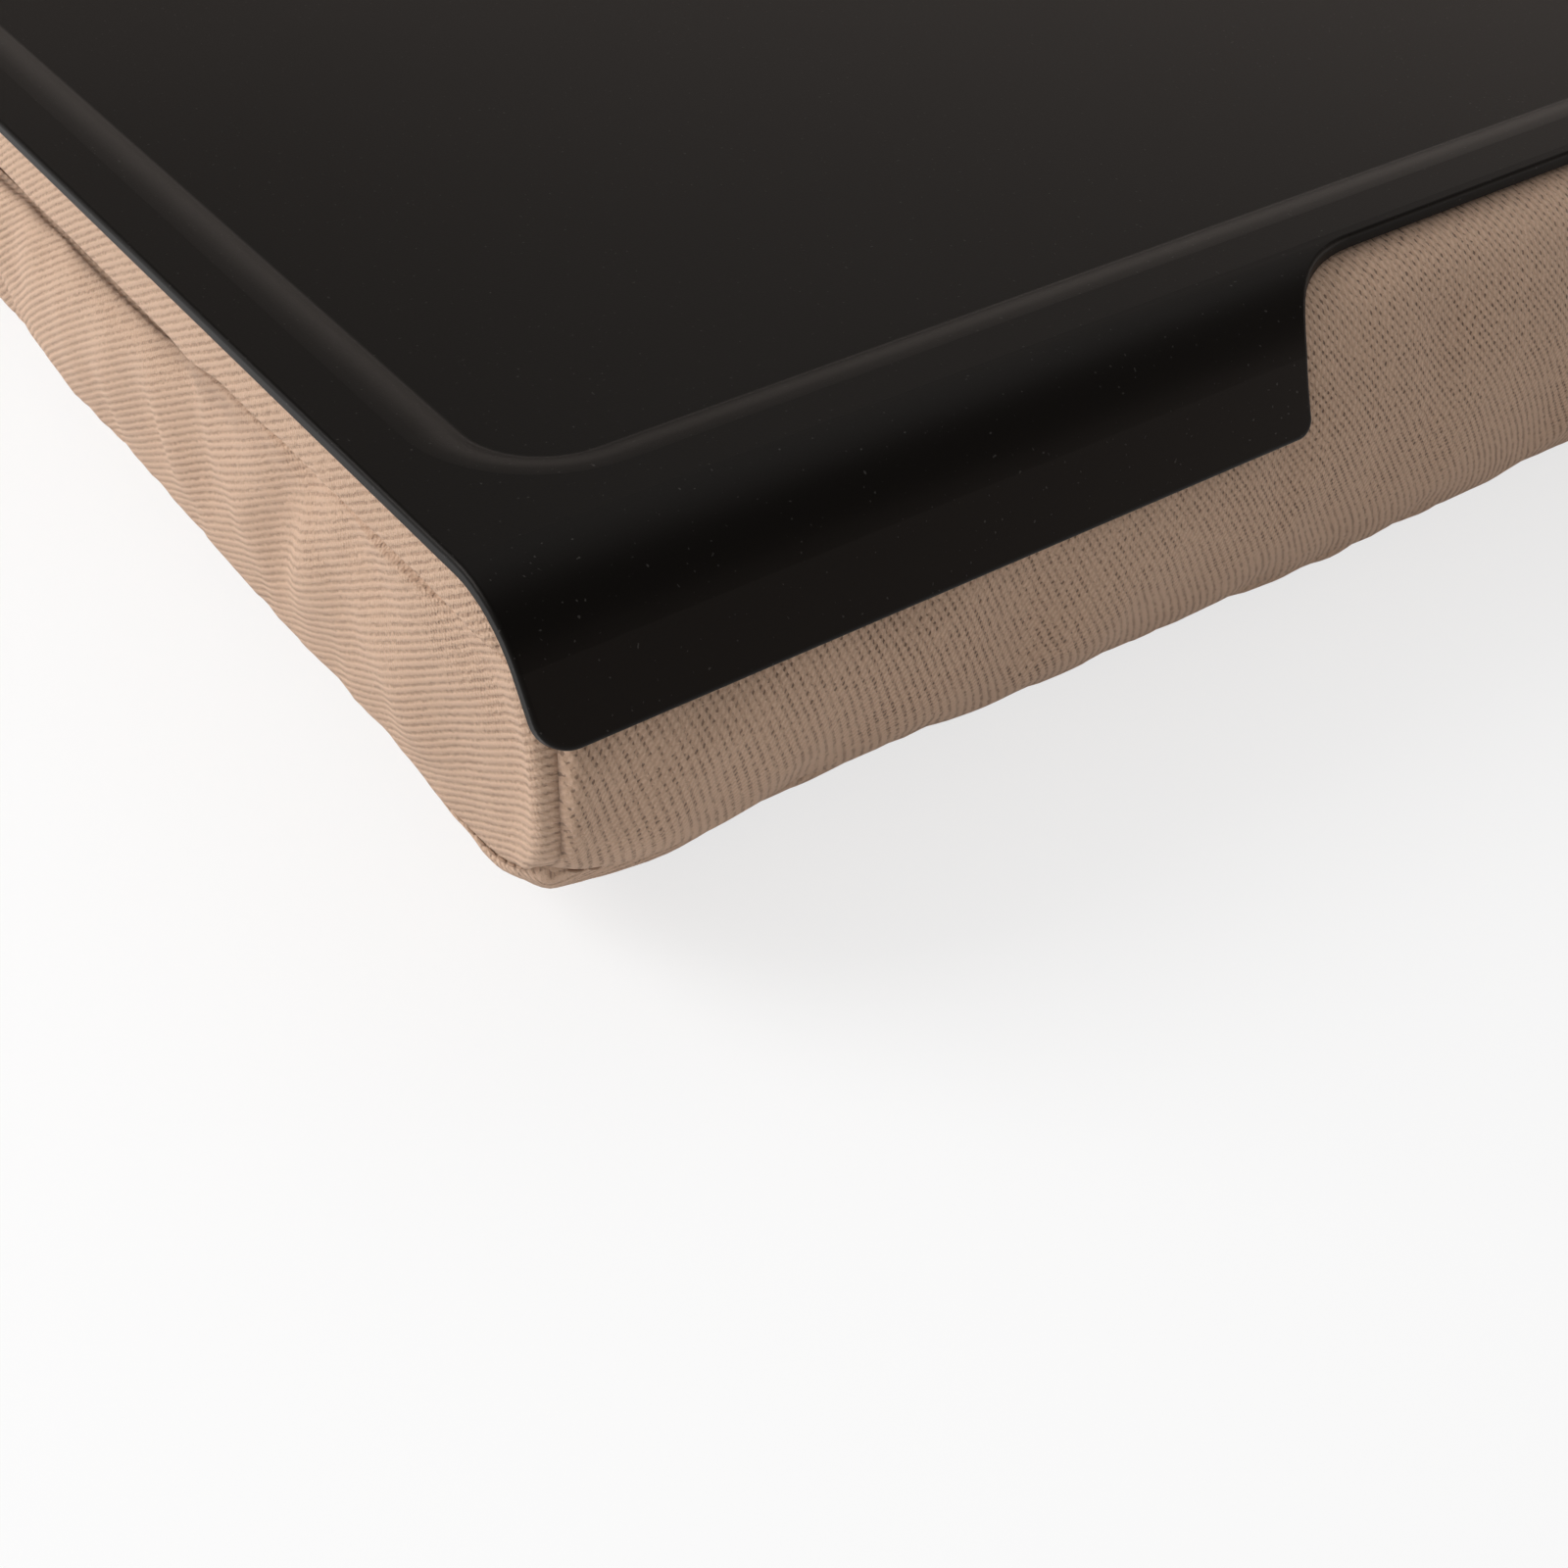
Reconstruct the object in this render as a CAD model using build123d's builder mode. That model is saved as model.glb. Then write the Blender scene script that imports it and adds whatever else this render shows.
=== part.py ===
from build123d import *
import os
from math import cos, radians, sin, tan

# Lap tray with cushion, in millimetres.
# X runs along the tray's long side, Y along its short side, Z up.
# The origin is the middle of the flat patch that the cushion rests on.
# The zipped long side faces -Y. The handle cut-outs are in the aprons at both X ends.

# Overall sizes
tray_length = 460.0
tray_width = 380.0
field_height = 62.0
seam_height = 14.0

# Tray sheet
sheet = 2.0
rim_height = 2.8
side_rim_width = 16.5
ring_width = 12.0
field_corner_radius = 13.0
crease_radius = 1.5
ramp_angle = 35.0
land_run = 15.5
apron_bend_radius = 16.0
apron_bend_angle = 62.0
apron_drop = 18.3
foot_corner_radius = 5.0
edge_round = 0.7
sharp_angle = 60.0
upper_skin_share = 0.3

# Handle cut-outs
handle_width = 123.6
handle_edge_run = 17.5
handle_throat_radius = 22.0
handle_foot_radius = 3.0

# Cushion cover
fabric = 1.0
tray_clearance = 0.3
apron_clearance = 0.6
shoulder_draw = 1.8
side_tuck = 1.8
side_bulge = 1.6
end_tuck = 1.0
band_low_draw = 0.6
seam_draw_x = 8.3
seam_draw_y = 1.4
seam_bow = 1.5
cover_corner_radius = 7.0
patch_inset_x = 96.0
patch_inset_y = 88.0
rest_cut = 0.5
mitre_depth = 45.0

# Hook and loop pads
pad_size = 50.0
hook_thickness = 1.0
loop_thickness = 1.0
pad_clearance = 1.0
pad_spacing_x = 250.0
pad_spacing_y = 200.0

# Zip opening in the long side
zip_opening = 300.0
zip_line_drop = 9.5
zip_mouth = 2.0
zip_channel_height = 7.6
zip_channel_depth = 5.4
tape_thickness = 0.5
tape_lap = 1.0
zip_slot = 1.2
coil_height = 1.6
coil_thickness = 1.5
coil_round = 0.5
stop_length = 2.2
stop_inset = 6.0
stop_rise = 0.1

# Zip slider and pull
slider_length = 9.0
slider_nose_width = 6.8
slider_tail_width = 5.6
slider_corner = 1.0
slider_plate = 0.8
slider_clearance = 0.25
slider_neck = 0.6
slider_neck_length = 2.4
slider_nose_wall = 0.5
slider_park_gap = 0.6
bail_thickness = 1.0
bail_radius = 1.1
bail_hole_radius = 0.6
pull_length = 18.0
pull_width = 3.8
pull_thickness = 0.8
pull_window_width = 1.8
pull_window_end = 2.3
pull_bar_radius = 0.4
pull_clearance = 0.3
pull_end_round = 1.5
pull_hole_radius = 0.7

# Inner bag and filling
bag_fabric = 0.6
bag_clearance = 0.3
filling_clearance = 0.2
zip_relief_clearance = 0.5
bag_seam_share = 0.5

# Shares of the apron's bend where the cushion's top and shoulder lie
top_bend_share = 0.58
shoulder_bend_share = 0.78
# Share of the cloth's thickness laid downward at the shoulder
shoulder_drop_share = 0.5
# Shares of the band's fall from the apron's foot to the lower seam
band_fall_shares = (0.33, 0.69)
# Crown of the underside, from the lower seam to the flat patch:
# share of the fall, share of the way in to the patch
crown_shares = ((0.42, 0.08), (0.76, 0.3), (0.95, 0.65), (1.0, 1.0))
# How the cloth's thickness is laid off the crown at each level: inward, upward
crown_cloth_shares = ((0.45, 0.92), (0.16, 0.99), (0.06, 1.0), (0.03, 1.0))

# Overrun of cutting solids past the faces that they cut
overrun = 5.0

# Derived places of the tray
half_length = tray_length / 2
half_width = tray_width / 2
land_height = field_height + rim_height
bend_sine = sin(radians(apron_bend_angle))
bend_cosine = cos(radians(apron_bend_angle))
apron_straight = (apron_drop - apron_bend_radius * (1 - bend_cosine)) / bend_sine
apron_reach = land_run + apron_bend_radius * bend_sine + apron_straight * bend_cosine
field_half_x = half_length - apron_reach
field_half_y = half_width - side_rim_width
bend_start_x = field_half_x + land_run
bend_centre_height = land_height - apron_bend_radius
foot_height = land_height - apron_drop
crease_run = crease_radius * tan(radians(ramp_angle / 2))
ramp_versine = 1 - cos(radians(ramp_angle))
crest_radius = (rim_height - crease_radius * ramp_versine) / ramp_versine
handle_edge_x = field_half_x + handle_edge_run
handle_reach = half_length + handle_throat_radius

# Derived places of the cushion
cushion_top = field_height - sheet - tray_clearance
top_seam_height = cushion_top - fabric
lining_radius = apron_bend_radius - sheet - apron_clearance
foot_lining_x = half_length - (sheet + apron_clearance) * bend_sine
foot_lining_height = foot_height - (sheet + apron_clearance) * bend_cosine
face_y = half_width - side_tuck
band_half_x = half_length - end_tuck
band_half_y = face_y + side_bulge
loop_floor = field_height - sheet - hook_thickness - loop_thickness
bag_top = loop_floor - fabric - bag_clearance
bag_inset = fabric + bag_clearance

# Derived places of the zip, whose faces look towards -Y
zip_height = field_height - zip_line_drop
mouth_top = zip_height + zip_mouth / 2
mouth_bottom = zip_height - zip_mouth / 2
channel_top = zip_height + zip_channel_height / 2
channel_bottom = zip_height - zip_channel_height / 2
zip_half = zip_opening / 2
tape_face_y = zip_channel_depth - face_y
tape_back_y = tape_face_y + tape_thickness
coil_face_y = tape_face_y - coil_thickness
coil_half = zip_half - stop_inset
coil_near = zip_slot / 2
coil_far = coil_near + coil_height
plate_back_y = coil_face_y - slider_clearance
plate_front_y = plate_back_y - slider_plate
back_plate_y = tape_back_y + slider_clearance
relief_y = back_plate_y + slider_plate + zip_relief_clearance
relief_bottom = channel_bottom - fabric - tape_lap - zip_relief_clearance
slider_x = slider_park_gap + slider_length / 2 - coil_half
pull_axis_y = -face_y - pull_clearance - pull_thickness / 2
bail_stand = plate_front_y - pull_axis_y


def upright(origin, outward):
    """An upright plane at a point, whose first axis points outward and whose second is up."""
    return Plane(origin, x_dir=outward, z_dir=Vector(*outward).cross(Vector(0, 0, 1)))


def rim_section(plane):
    """Cross-section of the rim on a plane, from the field's crease out to the flat land."""
    with BuildSketch(plane) as section:
        with BuildLine():
            hollow = JernArc((-crease_run, 0), (1, 0), crease_radius, ramp_angle)
            crest = JernArc(hollow @ 1, hollow % 1, crest_radius, -ramp_angle)
            land = Line(crest @ 1, (ring_width, rim_height))
            edge = Line(land @ 1, (ring_width, rim_height - sheet))
            under_hollow = JernArc((-crease_run, -sheet), (1, 0), crease_radius + sheet, ramp_angle)
            under_crest = JernArc(
                under_hollow @ 1, under_hollow % 1, crest_radius - sheet, -ramp_angle
            )
            Line(under_crest @ 1, edge @ 1)
            Line(hollow @ 0, under_hollow @ 0)
        make_face()
    return section.sketch


def bridge_section(plane):
    """The land and both aprons as one bent strip, seen along Y."""
    with BuildSketch(plane) as section:
        with BuildLine():
            top = Line((0, 0), (bend_start_x, 0))
            bend = JernArc(top @ 1, top % 1, apron_bend_radius, -apron_bend_angle)
            wall = PolarLine(bend @ 1, apron_straight, -apron_bend_angle)
            foot = PolarLine(wall @ 1, sheet, -apron_bend_angle - 90)
            under_wall = PolarLine(foot @ 1, apron_straight, 180 - apron_bend_angle)
            under_bend = JernArc(
                under_wall @ 1, under_wall % 1, apron_bend_radius - sheet, apron_bend_angle
            )
            Line(under_bend @ 1, (0, -sheet))
            mirror(about=Plane.YZ)
        make_face()
    return section.sketch


def upper_edges(part):
    """Sharp edges of a bent sheet that border the skin on its upper side."""
    sharp = ShapeList()
    faces = part.faces()
    for edge in part.edges():
        middle = edge @ 0.5
        normals = [face.normal_at(middle) for face in faces if edge in face.edges()]
        if len(normals) == 2 and normals[0].get_angle(normals[1]) > sharp_angle:
            if max(normal.Z for normal in normals) > upper_skin_share:
                sharp.append(edge)
    return sharp


def block(x_span, y_span, z_span, mode=Mode.ADD):
    """A box in the active part between pairs of coordinates."""
    spans = (x_span, y_span, z_span)
    with Locations(tuple((low + high) / 2 for low, high in spans)):
        return Box(*(high - low for low, high in spans), mode=mode)


def drawn_side(start, end, bow):
    """One side of a level outline in the active line, drawn in at its middle by the bow."""
    middle = (Vector(*start) + Vector(*end)) / 2
    if bow == 0:
        Line(start, end)
    else:
        ThreePointArc(start, middle - middle.normalized() * bow, end)


def level_outline(half_x, half_y, corner, height, bow):
    """Plan outline of the cushion at one height, its sides drawn in by the bow."""
    straight_x = half_x - corner
    straight_y = half_y - corner
    with BuildSketch(Plane.XY.offset(height)) as level:
        with BuildLine():
            drawn_side((half_x, -straight_y), (half_x, straight_y), bow)
            CenterArc((straight_x, straight_y), corner, 0, 90)
            drawn_side((straight_x, half_y), (-straight_x, half_y), bow)
            CenterArc((-straight_x, straight_y), corner, 90, 90)
            drawn_side((-half_x, straight_y), (-half_x, -straight_y), bow)
            CenterArc((-straight_x, -straight_y), corner, 180, 90)
            drawn_side((-straight_x, -half_y), (straight_x, -half_y), bow)
            CenterArc((straight_x, -straight_y), corner, 270, 90)
        make_face()
    return level.sketch


def lining_level(bend_share):
    """Reach and height of the cushion where it lines the apron's bend."""
    angle = radians(apron_bend_angle * bend_share)
    reach = bend_start_x + lining_radius * sin(angle)
    return reach, bend_centre_height + lining_radius * cos(angle)


def cushion_levels(inset):
    """Outlines of the cushion from its top down to its patch, drawn in by the inset.

    Each level is its half length, half width, corner radius, height and bow.
    """
    top_x = lining_level(top_bend_share)[0]
    shoulder_x, shoulder_height = lining_level(shoulder_bend_share)
    bend_x, bend_height = lining_level(1)
    seam_x = band_half_x - seam_draw_x
    seam_y = band_half_y - seam_draw_y
    band_fall = foot_lining_height - seam_height
    full_height = foot_lining_height - band_fall * band_fall_shares[0]
    low_height = foot_lining_height - band_fall * band_fall_shares[1]
    low_x = band_half_x - band_low_draw
    low_y = band_half_y - band_low_draw

    # Half length, half width, height, bow, and the shares of the inset laid inward and downward
    places = [
        (top_x, face_y - shoulder_draw, cushion_top, 0, 1, -1),
        (shoulder_x, face_y, shoulder_height, 0, 1, -shoulder_drop_share),
        (bend_x, face_y, bend_height, 0, 1, 0),
        (foot_lining_x, face_y, foot_lining_height, 0, 1, 0),
        (band_half_x, band_half_y, full_height, 0, 1, 0),
        (low_x, low_y, low_height, seam_bow / 2, 1, 0),
        (seam_x, seam_y, seam_height, seam_bow, 1, 0),
    ]
    for (fall_share, reach_share), (in_share, up_share) in zip(crown_shares, crown_cloth_shares):
        half_x = seam_x - patch_inset_x * reach_share
        half_y = seam_y - patch_inset_y * reach_share
        height = seam_height - (seam_height + rest_cut) * fall_share
        places.append((half_x, half_y, height, seam_bow * (1 - fall_share), in_share, up_share))

    corner = cover_corner_radius - inset
    return [
        (half_x - inset * in_share, half_y - inset * in_share, corner, height + inset * up_share, bow)
        for half_x, half_y, height, bow, in_share, up_share in places
    ]


def cushion_form(inset, outline):
    """The crowned cushion through its levels, drawn in by the inset and cut flat where it rests."""
    outlines = [outline(*level) for level in cushion_levels(inset)]
    with BuildPart() as form:
        loft(outlines, ruled=True)
        split(bisect_by=Plane.XY.offset(inset), keep=Keep.TOP)
    return form.part


def bag_outline(half_x, half_y, cut, height, bow):
    """Plain outline inside a level of the cushion, with straight sides and cut corners."""
    with BuildSketch(Plane.XY.offset(height)) as outline:
        Rectangle(2 * (half_x - bow), 2 * (half_y - bow))
        chamfer(outline.vertices(), cut)
    return outline.sketch


def side_wedge(height, turn):
    """Plan of one side's share of the cover, mitred at the corners, as a turned sketch."""
    reach_x = half_length + overrun
    reach_y = half_width + overrun
    if turn % 2 == 0:
        points = (
            (reach_x, -reach_y),
            (reach_x, reach_y),
            (reach_x - mitre_depth, reach_y - mitre_depth),
            (reach_x - mitre_depth, mitre_depth - reach_y),
        )
    else:
        points = (
            (reach_x, reach_y),
            (-reach_x, reach_y),
            (mitre_depth - reach_x, reach_y - mitre_depth),
            (reach_x - mitre_depth, reach_y - mitre_depth),
        )
    sign = 1 if turn < 2 else -1
    with BuildSketch(Plane.XY.offset(height)) as wedge:
        with BuildLine():
            Polyline(*((sign * x, sign * y) for x, y in points), close=True)
        make_face()
    return wedge.sketch


def save(piece, label):
    """Labels a finished piece and writes it to its own file."""
    piece.part.label = label
    export_step(piece.part, f"parts/{label}.step")


os.makedirs("parts", exist_ok=True)

# Raised rim round the field: a quarter, mirrored to the other three
corner_x = field_half_x - field_corner_radius
corner_y = field_half_y - field_corner_radius
with BuildPart() as rim:
    extrude(rim_section(upright((field_half_x, 0, field_height), (1, 0, 0))), amount=-corner_y)
    extrude(rim_section(upright((0, field_half_y, field_height), (0, 1, 0))), amount=corner_x)
    revolve(
        rim_section(upright((field_half_x, corner_y, field_height), (1, 0, 0))),
        axis=Axis((corner_x, corner_y, 0), (0, 0, 1)),
        revolution_arc=90,
    )
    mirror(about=Plane.XZ)
    mirror(about=Plane.YZ)

# Tray: the bent land and aprons, the rim, the sunk field and the handle cut-outs
with BuildPart() as tray:
    extrude(bridge_section(upright((0, 0, land_height), (1, 0, 0))), amount=half_width, both=True)
    with BuildSketch(Plane.XY.offset(land_height - sheet)):
        RectangleRounded(
            2 * (field_half_x + ring_width),
            2 * (field_half_y + ring_width),
            field_corner_radius + ring_width,
        )
    extrude(amount=sheet, mode=Mode.SUBTRACT)
    add(rim.part)
    with BuildSketch(Plane.XY.offset(field_height - sheet)):
        RectangleRounded(
            2 * (field_half_x - crease_run),
            2 * (field_half_y - crease_run),
            field_corner_radius - crease_run,
        )
    extrude(amount=sheet)
    with BuildSketch(Plane.XY.offset(foot_height - overrun)) as handles:
        for side in (-1, 1):
            with Locations((side * (handle_edge_x + handle_reach) / 2, 0)):
                Rectangle(handle_reach - handle_edge_x, handle_width)
        throat_corners = handles.vertices().filter_by(
            lambda v: abs(abs(v.X) - handle_edge_x) < edge_round
        )
        fillet(throat_corners, handle_throat_radius)
    extrude(amount=apron_drop + 2 * overrun, mode=Mode.SUBTRACT)
    foot_edges = tray.edges().filter_by(
        lambda e: abs(e.length - sheet) < edge_round / 2 and (e @ 0.5).Z < foot_height + sheet
    )
    fillet(foot_edges.filter_by(lambda e: abs((e @ 0.5).Y) > handle_width), foot_corner_radius)
    foot_edges = tray.edges().filter_by(
        lambda e: abs(e.length - sheet) < edge_round / 2 and (e @ 0.5).Z < foot_height + sheet
    )
    fillet(foot_edges.filter_by(lambda e: abs((e @ 0.5).Y) < handle_width), handle_foot_radius)
    fillet(upper_edges(tray.part), edge_round)
save(tray, "tray")

# Hook pads, glued under the field, and loop pads, sewn on the cover below them
pad_places = [
    (across * pad_spacing_x / 2, along * pad_spacing_y / 2)
    for along in (-1, 1)
    for across in (-1, 1)
]
for number, place in enumerate(pad_places, start=1):
    with BuildPart() as hook_pad:
        with BuildSketch(Plane.XY.offset(loop_floor + loop_thickness)):
            with Locations(place):
                Rectangle(pad_size, pad_size)
        extrude(amount=hook_thickness)
    save(hook_pad, f"hook_pad_{number}")
    with BuildPart() as loop_pad:
        with BuildSketch(Plane.XY.offset(loop_floor)):
            with Locations(place):
                Rectangle(pad_size, pad_size)
        extrude(amount=loop_thickness)
    save(loop_pad, f"loop_pad_{number}")

# Cushion inside and outside the cover's cloth
outer_form = cushion_form(0, level_outline)
inner_form = cushion_form(fabric, level_outline)

# Cover's top panel, with a pocket round each loop pad
pocket_size = pad_size + 2 * pad_clearance
with BuildPart() as cover_top_panel:
    add(outer_form)
    split(bisect_by=Plane.XY.offset(top_seam_height), keep=Keep.TOP)
    with BuildSketch(Plane.XY.offset(loop_floor - fabric)):
        with Locations(*pad_places):
            Rectangle(pocket_size + 2 * fabric, pocket_size + 2 * fabric)
    extrude(amount=top_seam_height - loop_floor + fabric)
    with BuildSketch(Plane.XY.offset(loop_floor)):
        with Locations(*pad_places):
            Rectangle(pocket_size, pocket_size)
    extrude(amount=cushion_top - loop_floor + overrun, mode=Mode.SUBTRACT)
save(cover_top_panel, "cover_top_panel")

# Cover's bottom panel, below the lower seam
with BuildPart() as cover_bottom_panel:
    add(outer_form)
    add(inner_form, mode=Mode.SUBTRACT)
    split(bisect_by=Plane.XY.offset(seam_height), keep=Keep.BOTTOM)
save(cover_bottom_panel, "cover_bottom_panel")

# Band between the two seams, all round
with BuildPart() as band:
    add(outer_form)
    add(inner_form, mode=Mode.SUBTRACT)
    split(bisect_by=Plane.XY.offset(top_seam_height), keep=Keep.BOTTOM)
    split(bisect_by=Plane.XY.offset(seam_height), keep=Keep.TOP)

# The band's cloth pieces on the two ends and the back, mitred at the corner seams
for label, turn in (("cover_end_band_right", 0), ("cover_back_band", 1), ("cover_end_band_left", 2)):
    with BuildPart() as side_band:
        add(band.part)
        extrude(side_wedge(0, turn), amount=field_height, mode=Mode.INTERSECT)
    save(side_band, label)

# The zipped side, before it is cut along the zip's mouth
with BuildPart() as front_band:
    add(band.part)
    extrude(side_wedge(0, 3), amount=field_height, mode=Mode.INTERSECT)

# Returns of cloth that carry the zip's tapes, above and below the channel
with BuildPart() as upper_return:
    block((-zip_half, zip_half), (-half_width, tape_face_y), (channel_top, channel_top + fabric))
    add(inner_form, mode=Mode.INTERSECT)
with BuildPart() as lower_return:
    block(
        (-zip_half, zip_half), (-half_width, tape_face_y), (channel_bottom - fabric, channel_bottom)
    )
    add(inner_form, mode=Mode.INTERSECT)

# Narrow band above the zip's mouth, and the tall band that joins it past both ends of the mouth
with BuildPart() as cover_front_band_upper:
    add(front_band.part)
    split(bisect_by=Plane.XY.offset(mouth_top), keep=Keep.TOP)
    add(upper_return.part)
save(cover_front_band_upper, "cover_front_band_upper")
with BuildPart() as cover_front_band_lower:
    add(front_band.part)
    split(bisect_by=Plane.XY.offset(mouth_top), keep=Keep.BOTTOM)
    block(
        (-zip_half, zip_half), (-half_width, tape_back_y), (mouth_bottom, mouth_top), Mode.SUBTRACT
    )
    add(lower_return.part)
save(cover_front_band_lower, "cover_front_band_lower")

# Zip tapes and coils, above and below the slot that the slider's neck runs in
for label, side, edge in (
    ("upper", 1, channel_top + fabric + tape_lap),
    ("lower", -1, channel_bottom - fabric - tape_lap),
):
    near = zip_height + side * coil_near
    far = zip_height + side * coil_far
    with BuildPart() as zip_tape:
        block((-zip_half, zip_half), (tape_face_y, tape_back_y), sorted((near, edge)))
    save(zip_tape, f"zip_tape_{label}")
    with BuildPart() as zip_coil:
        block((-coil_half, coil_half), (coil_face_y, tape_face_y), sorted((near, far)))
        fillet(zip_coil.edges().filter_by(Axis.X).group_by(Axis.Y)[0], coil_round)
    save(zip_coil, f"zip_coil_{label}")

# Stops at the zip's closed and open ends
stop_face_y = coil_face_y - stop_rise
with BuildPart() as zip_top_stops:
    for side in (-1, 1):
        block(
            (-coil_half - stop_length, -coil_half),
            (stop_face_y, tape_face_y),
            sorted((zip_height + side * coil_near, zip_height + side * coil_far)),
        )
    fillet(zip_top_stops.edges().filter_by(Axis.X).group_by(Axis.Y)[0], coil_round)
save(zip_top_stops, "zip_top_stops")
with BuildPart() as zip_bottom_stop:
    block(
        (coil_half, coil_half + stop_length),
        (stop_face_y, tape_face_y),
        (zip_height - coil_far, zip_height + coil_far),
    )
    fillet(zip_bottom_stop.edges().filter_by(Axis.X).group_by(Axis.Y)[0], coil_round)
save(zip_bottom_stop, "zip_bottom_stop")


def slider_outline(depth_y):
    """The slider's tapered plan, looking along Y at it, with its wide nose towards -X."""
    nose_x = -slider_length / 2
    with BuildSketch(upright((slider_x, depth_y, zip_height), (1, 0, 0))) as outline:
        with BuildLine():
            Polyline(
                (nose_x, -slider_nose_width / 2),
                (-nose_x, -slider_tail_width / 2),
                (-nose_x, slider_tail_width / 2),
                (nose_x, slider_nose_width / 2),
                close=True,
            )
        make_face()
        fillet(outline.vertices(), slider_corner)
    return outline.sketch


# Slider: front plate with side flanges, neck through the slot, back plate and bail
flange_end_y = tape_face_y - slider_clearance
neck_x = slider_x - slider_length / 2 + slider_nose_wall
with BuildPart() as zip_slider:
    extrude(slider_outline(flange_end_y), amount=flange_end_y - plate_front_y)
    block(
        (slider_x - slider_length, slider_x + slider_length),
        (plate_back_y, flange_end_y + overrun),
        (zip_height - coil_far - slider_clearance, zip_height + coil_far + slider_clearance),
        mode=Mode.SUBTRACT,
    )
    extrude(slider_outline(back_plate_y + slider_plate), amount=slider_plate)
    block(
        (neck_x, neck_x + slider_neck_length),
        (plate_back_y, back_plate_y),
        (zip_height - slider_neck / 2, zip_height + slider_neck / 2),
    )
    with BuildSketch(Plane.XY.offset(zip_height - bail_thickness / 2)):
        with Locations((slider_x, pull_axis_y)):
            Circle(bail_radius)
        with Locations((slider_x, pull_axis_y + bail_stand / 2)):
            Rectangle(2 * bail_radius, bail_stand)
        with Locations((slider_x, pull_axis_y)):
            Circle(bail_hole_radius, mode=Mode.SUBTRACT)
    extrude(amount=bail_thickness)
save(zip_slider, "zip_slider")

# Pull tab, with its bar through the bail
with BuildPart() as zip_pull:
    with BuildSketch(upright((slider_x, pull_axis_y, zip_height), (1, 0, 0))) as tab:
        with Locations(((pull_length - pull_bar_radius) / 2, 0)):
            Rectangle(pull_length + pull_bar_radius, pull_width)
        fillet(tab.vertices().group_by(Axis.X)[-1], pull_end_round)
        with Locations((pull_window_end / 2 - overrun / 2, 0)):
            Rectangle(pull_window_end + overrun, pull_window_width, mode=Mode.SUBTRACT)
        with Locations((pull_length - pull_end_round - pull_hole_radius, 0)):
            Circle(pull_hole_radius, mode=Mode.SUBTRACT)
    extrude(amount=pull_thickness / 2, both=True)
    with BuildSketch(Plane.XY.offset(zip_height - pull_width / 2)):
        with Locations((slider_x, pull_axis_y)):
            Circle(pull_bar_radius)
    extrude(amount=pull_width)
save(zip_pull, "zip_pull")


def bag_space(inset, top, relief):
    """The bag's form drawn in by the inset, cut flat on top and relieved round the zip."""
    form = cushion_form(inset, bag_outline)
    with BuildPart() as space:
        add(form)
        split(bisect_by=Plane.XY.offset(top), keep=Keep.BOTTOM)
        block(
            (-zip_half - relief, zip_half + relief),
            (-half_width, relief_y + relief),
            (relief_bottom - relief, field_height),
            mode=Mode.SUBTRACT,
        )
    return space.part


bag_outside = bag_space(bag_inset, bag_top, 0)
bag_inside = bag_space(bag_inset + bag_fabric, bag_top - bag_fabric, bag_fabric)
filling_draw = bag_fabric + filling_clearance
bag_seam_height = seam_height + (relief_bottom - seam_height) * bag_seam_share

# Inner bag, sewn from an upper and a lower panel
for label, kept in (("bag_upper_panel", Keep.TOP), ("bag_lower_panel", Keep.BOTTOM)):
    with BuildPart() as bag_panel:
        add(bag_outside)
        add(bag_inside, mode=Mode.SUBTRACT)
        split(bisect_by=Plane.XY.offset(bag_seam_height), keep=kept)
    save(bag_panel, label)

# Loose beads, as the space that they fill
filling_space = bag_space(bag_inset + filling_draw, bag_top - filling_draw, filling_draw)
with BuildPart() as bead_filling:
    add(filling_space)
save(bead_filling, "bead_filling")
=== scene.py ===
import logging
import math
from dataclasses import dataclass
from enum import Enum
from typing import Any, Callable, Sequence

import bpy
import numpy as np
from mathutils import Matrix, Vector
from mathutils.kdtree import KDTree


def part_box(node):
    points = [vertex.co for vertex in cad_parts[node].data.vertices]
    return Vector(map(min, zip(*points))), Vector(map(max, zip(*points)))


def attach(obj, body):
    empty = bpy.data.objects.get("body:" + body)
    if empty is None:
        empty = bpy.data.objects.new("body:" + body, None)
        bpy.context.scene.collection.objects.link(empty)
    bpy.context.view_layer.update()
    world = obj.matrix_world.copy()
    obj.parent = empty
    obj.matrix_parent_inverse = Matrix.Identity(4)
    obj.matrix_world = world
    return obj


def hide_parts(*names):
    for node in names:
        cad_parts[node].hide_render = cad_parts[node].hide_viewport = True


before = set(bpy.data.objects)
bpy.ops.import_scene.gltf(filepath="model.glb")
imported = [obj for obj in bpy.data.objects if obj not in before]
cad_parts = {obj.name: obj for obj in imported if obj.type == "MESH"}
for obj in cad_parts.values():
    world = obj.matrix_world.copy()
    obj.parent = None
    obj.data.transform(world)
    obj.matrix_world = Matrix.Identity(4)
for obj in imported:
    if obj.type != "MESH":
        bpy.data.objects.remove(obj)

LOG = logging.getLogger("lap_tray")
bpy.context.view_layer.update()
MM = 0.001
Pair = tuple[float, float]
Triple = tuple[float, float, float]
Places = tuple[Pair, ...]
# The twill's angle in degrees on the long bands, on the end bands and on the flat panels
SIDE_ANGLE, END_ANGLE, FLAT_ANGLE = 29.2, -56.0, 60.0
# On the end bands, which the light grazes, the weave's pits get more painted shade: strength of
# the pits' painted shade, yarn in millimetres and share of knots
END_PIT_SHADE, END_YARN, END_KNOTS = 1.4, 0.85, 0.62


class Side(Enum):
    """A side of the cushion, numbered anticlockwise from the right end."""

    RIGHT = 0
    BACK = 1
    LEFT = 2
    FRONT = 3


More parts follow.
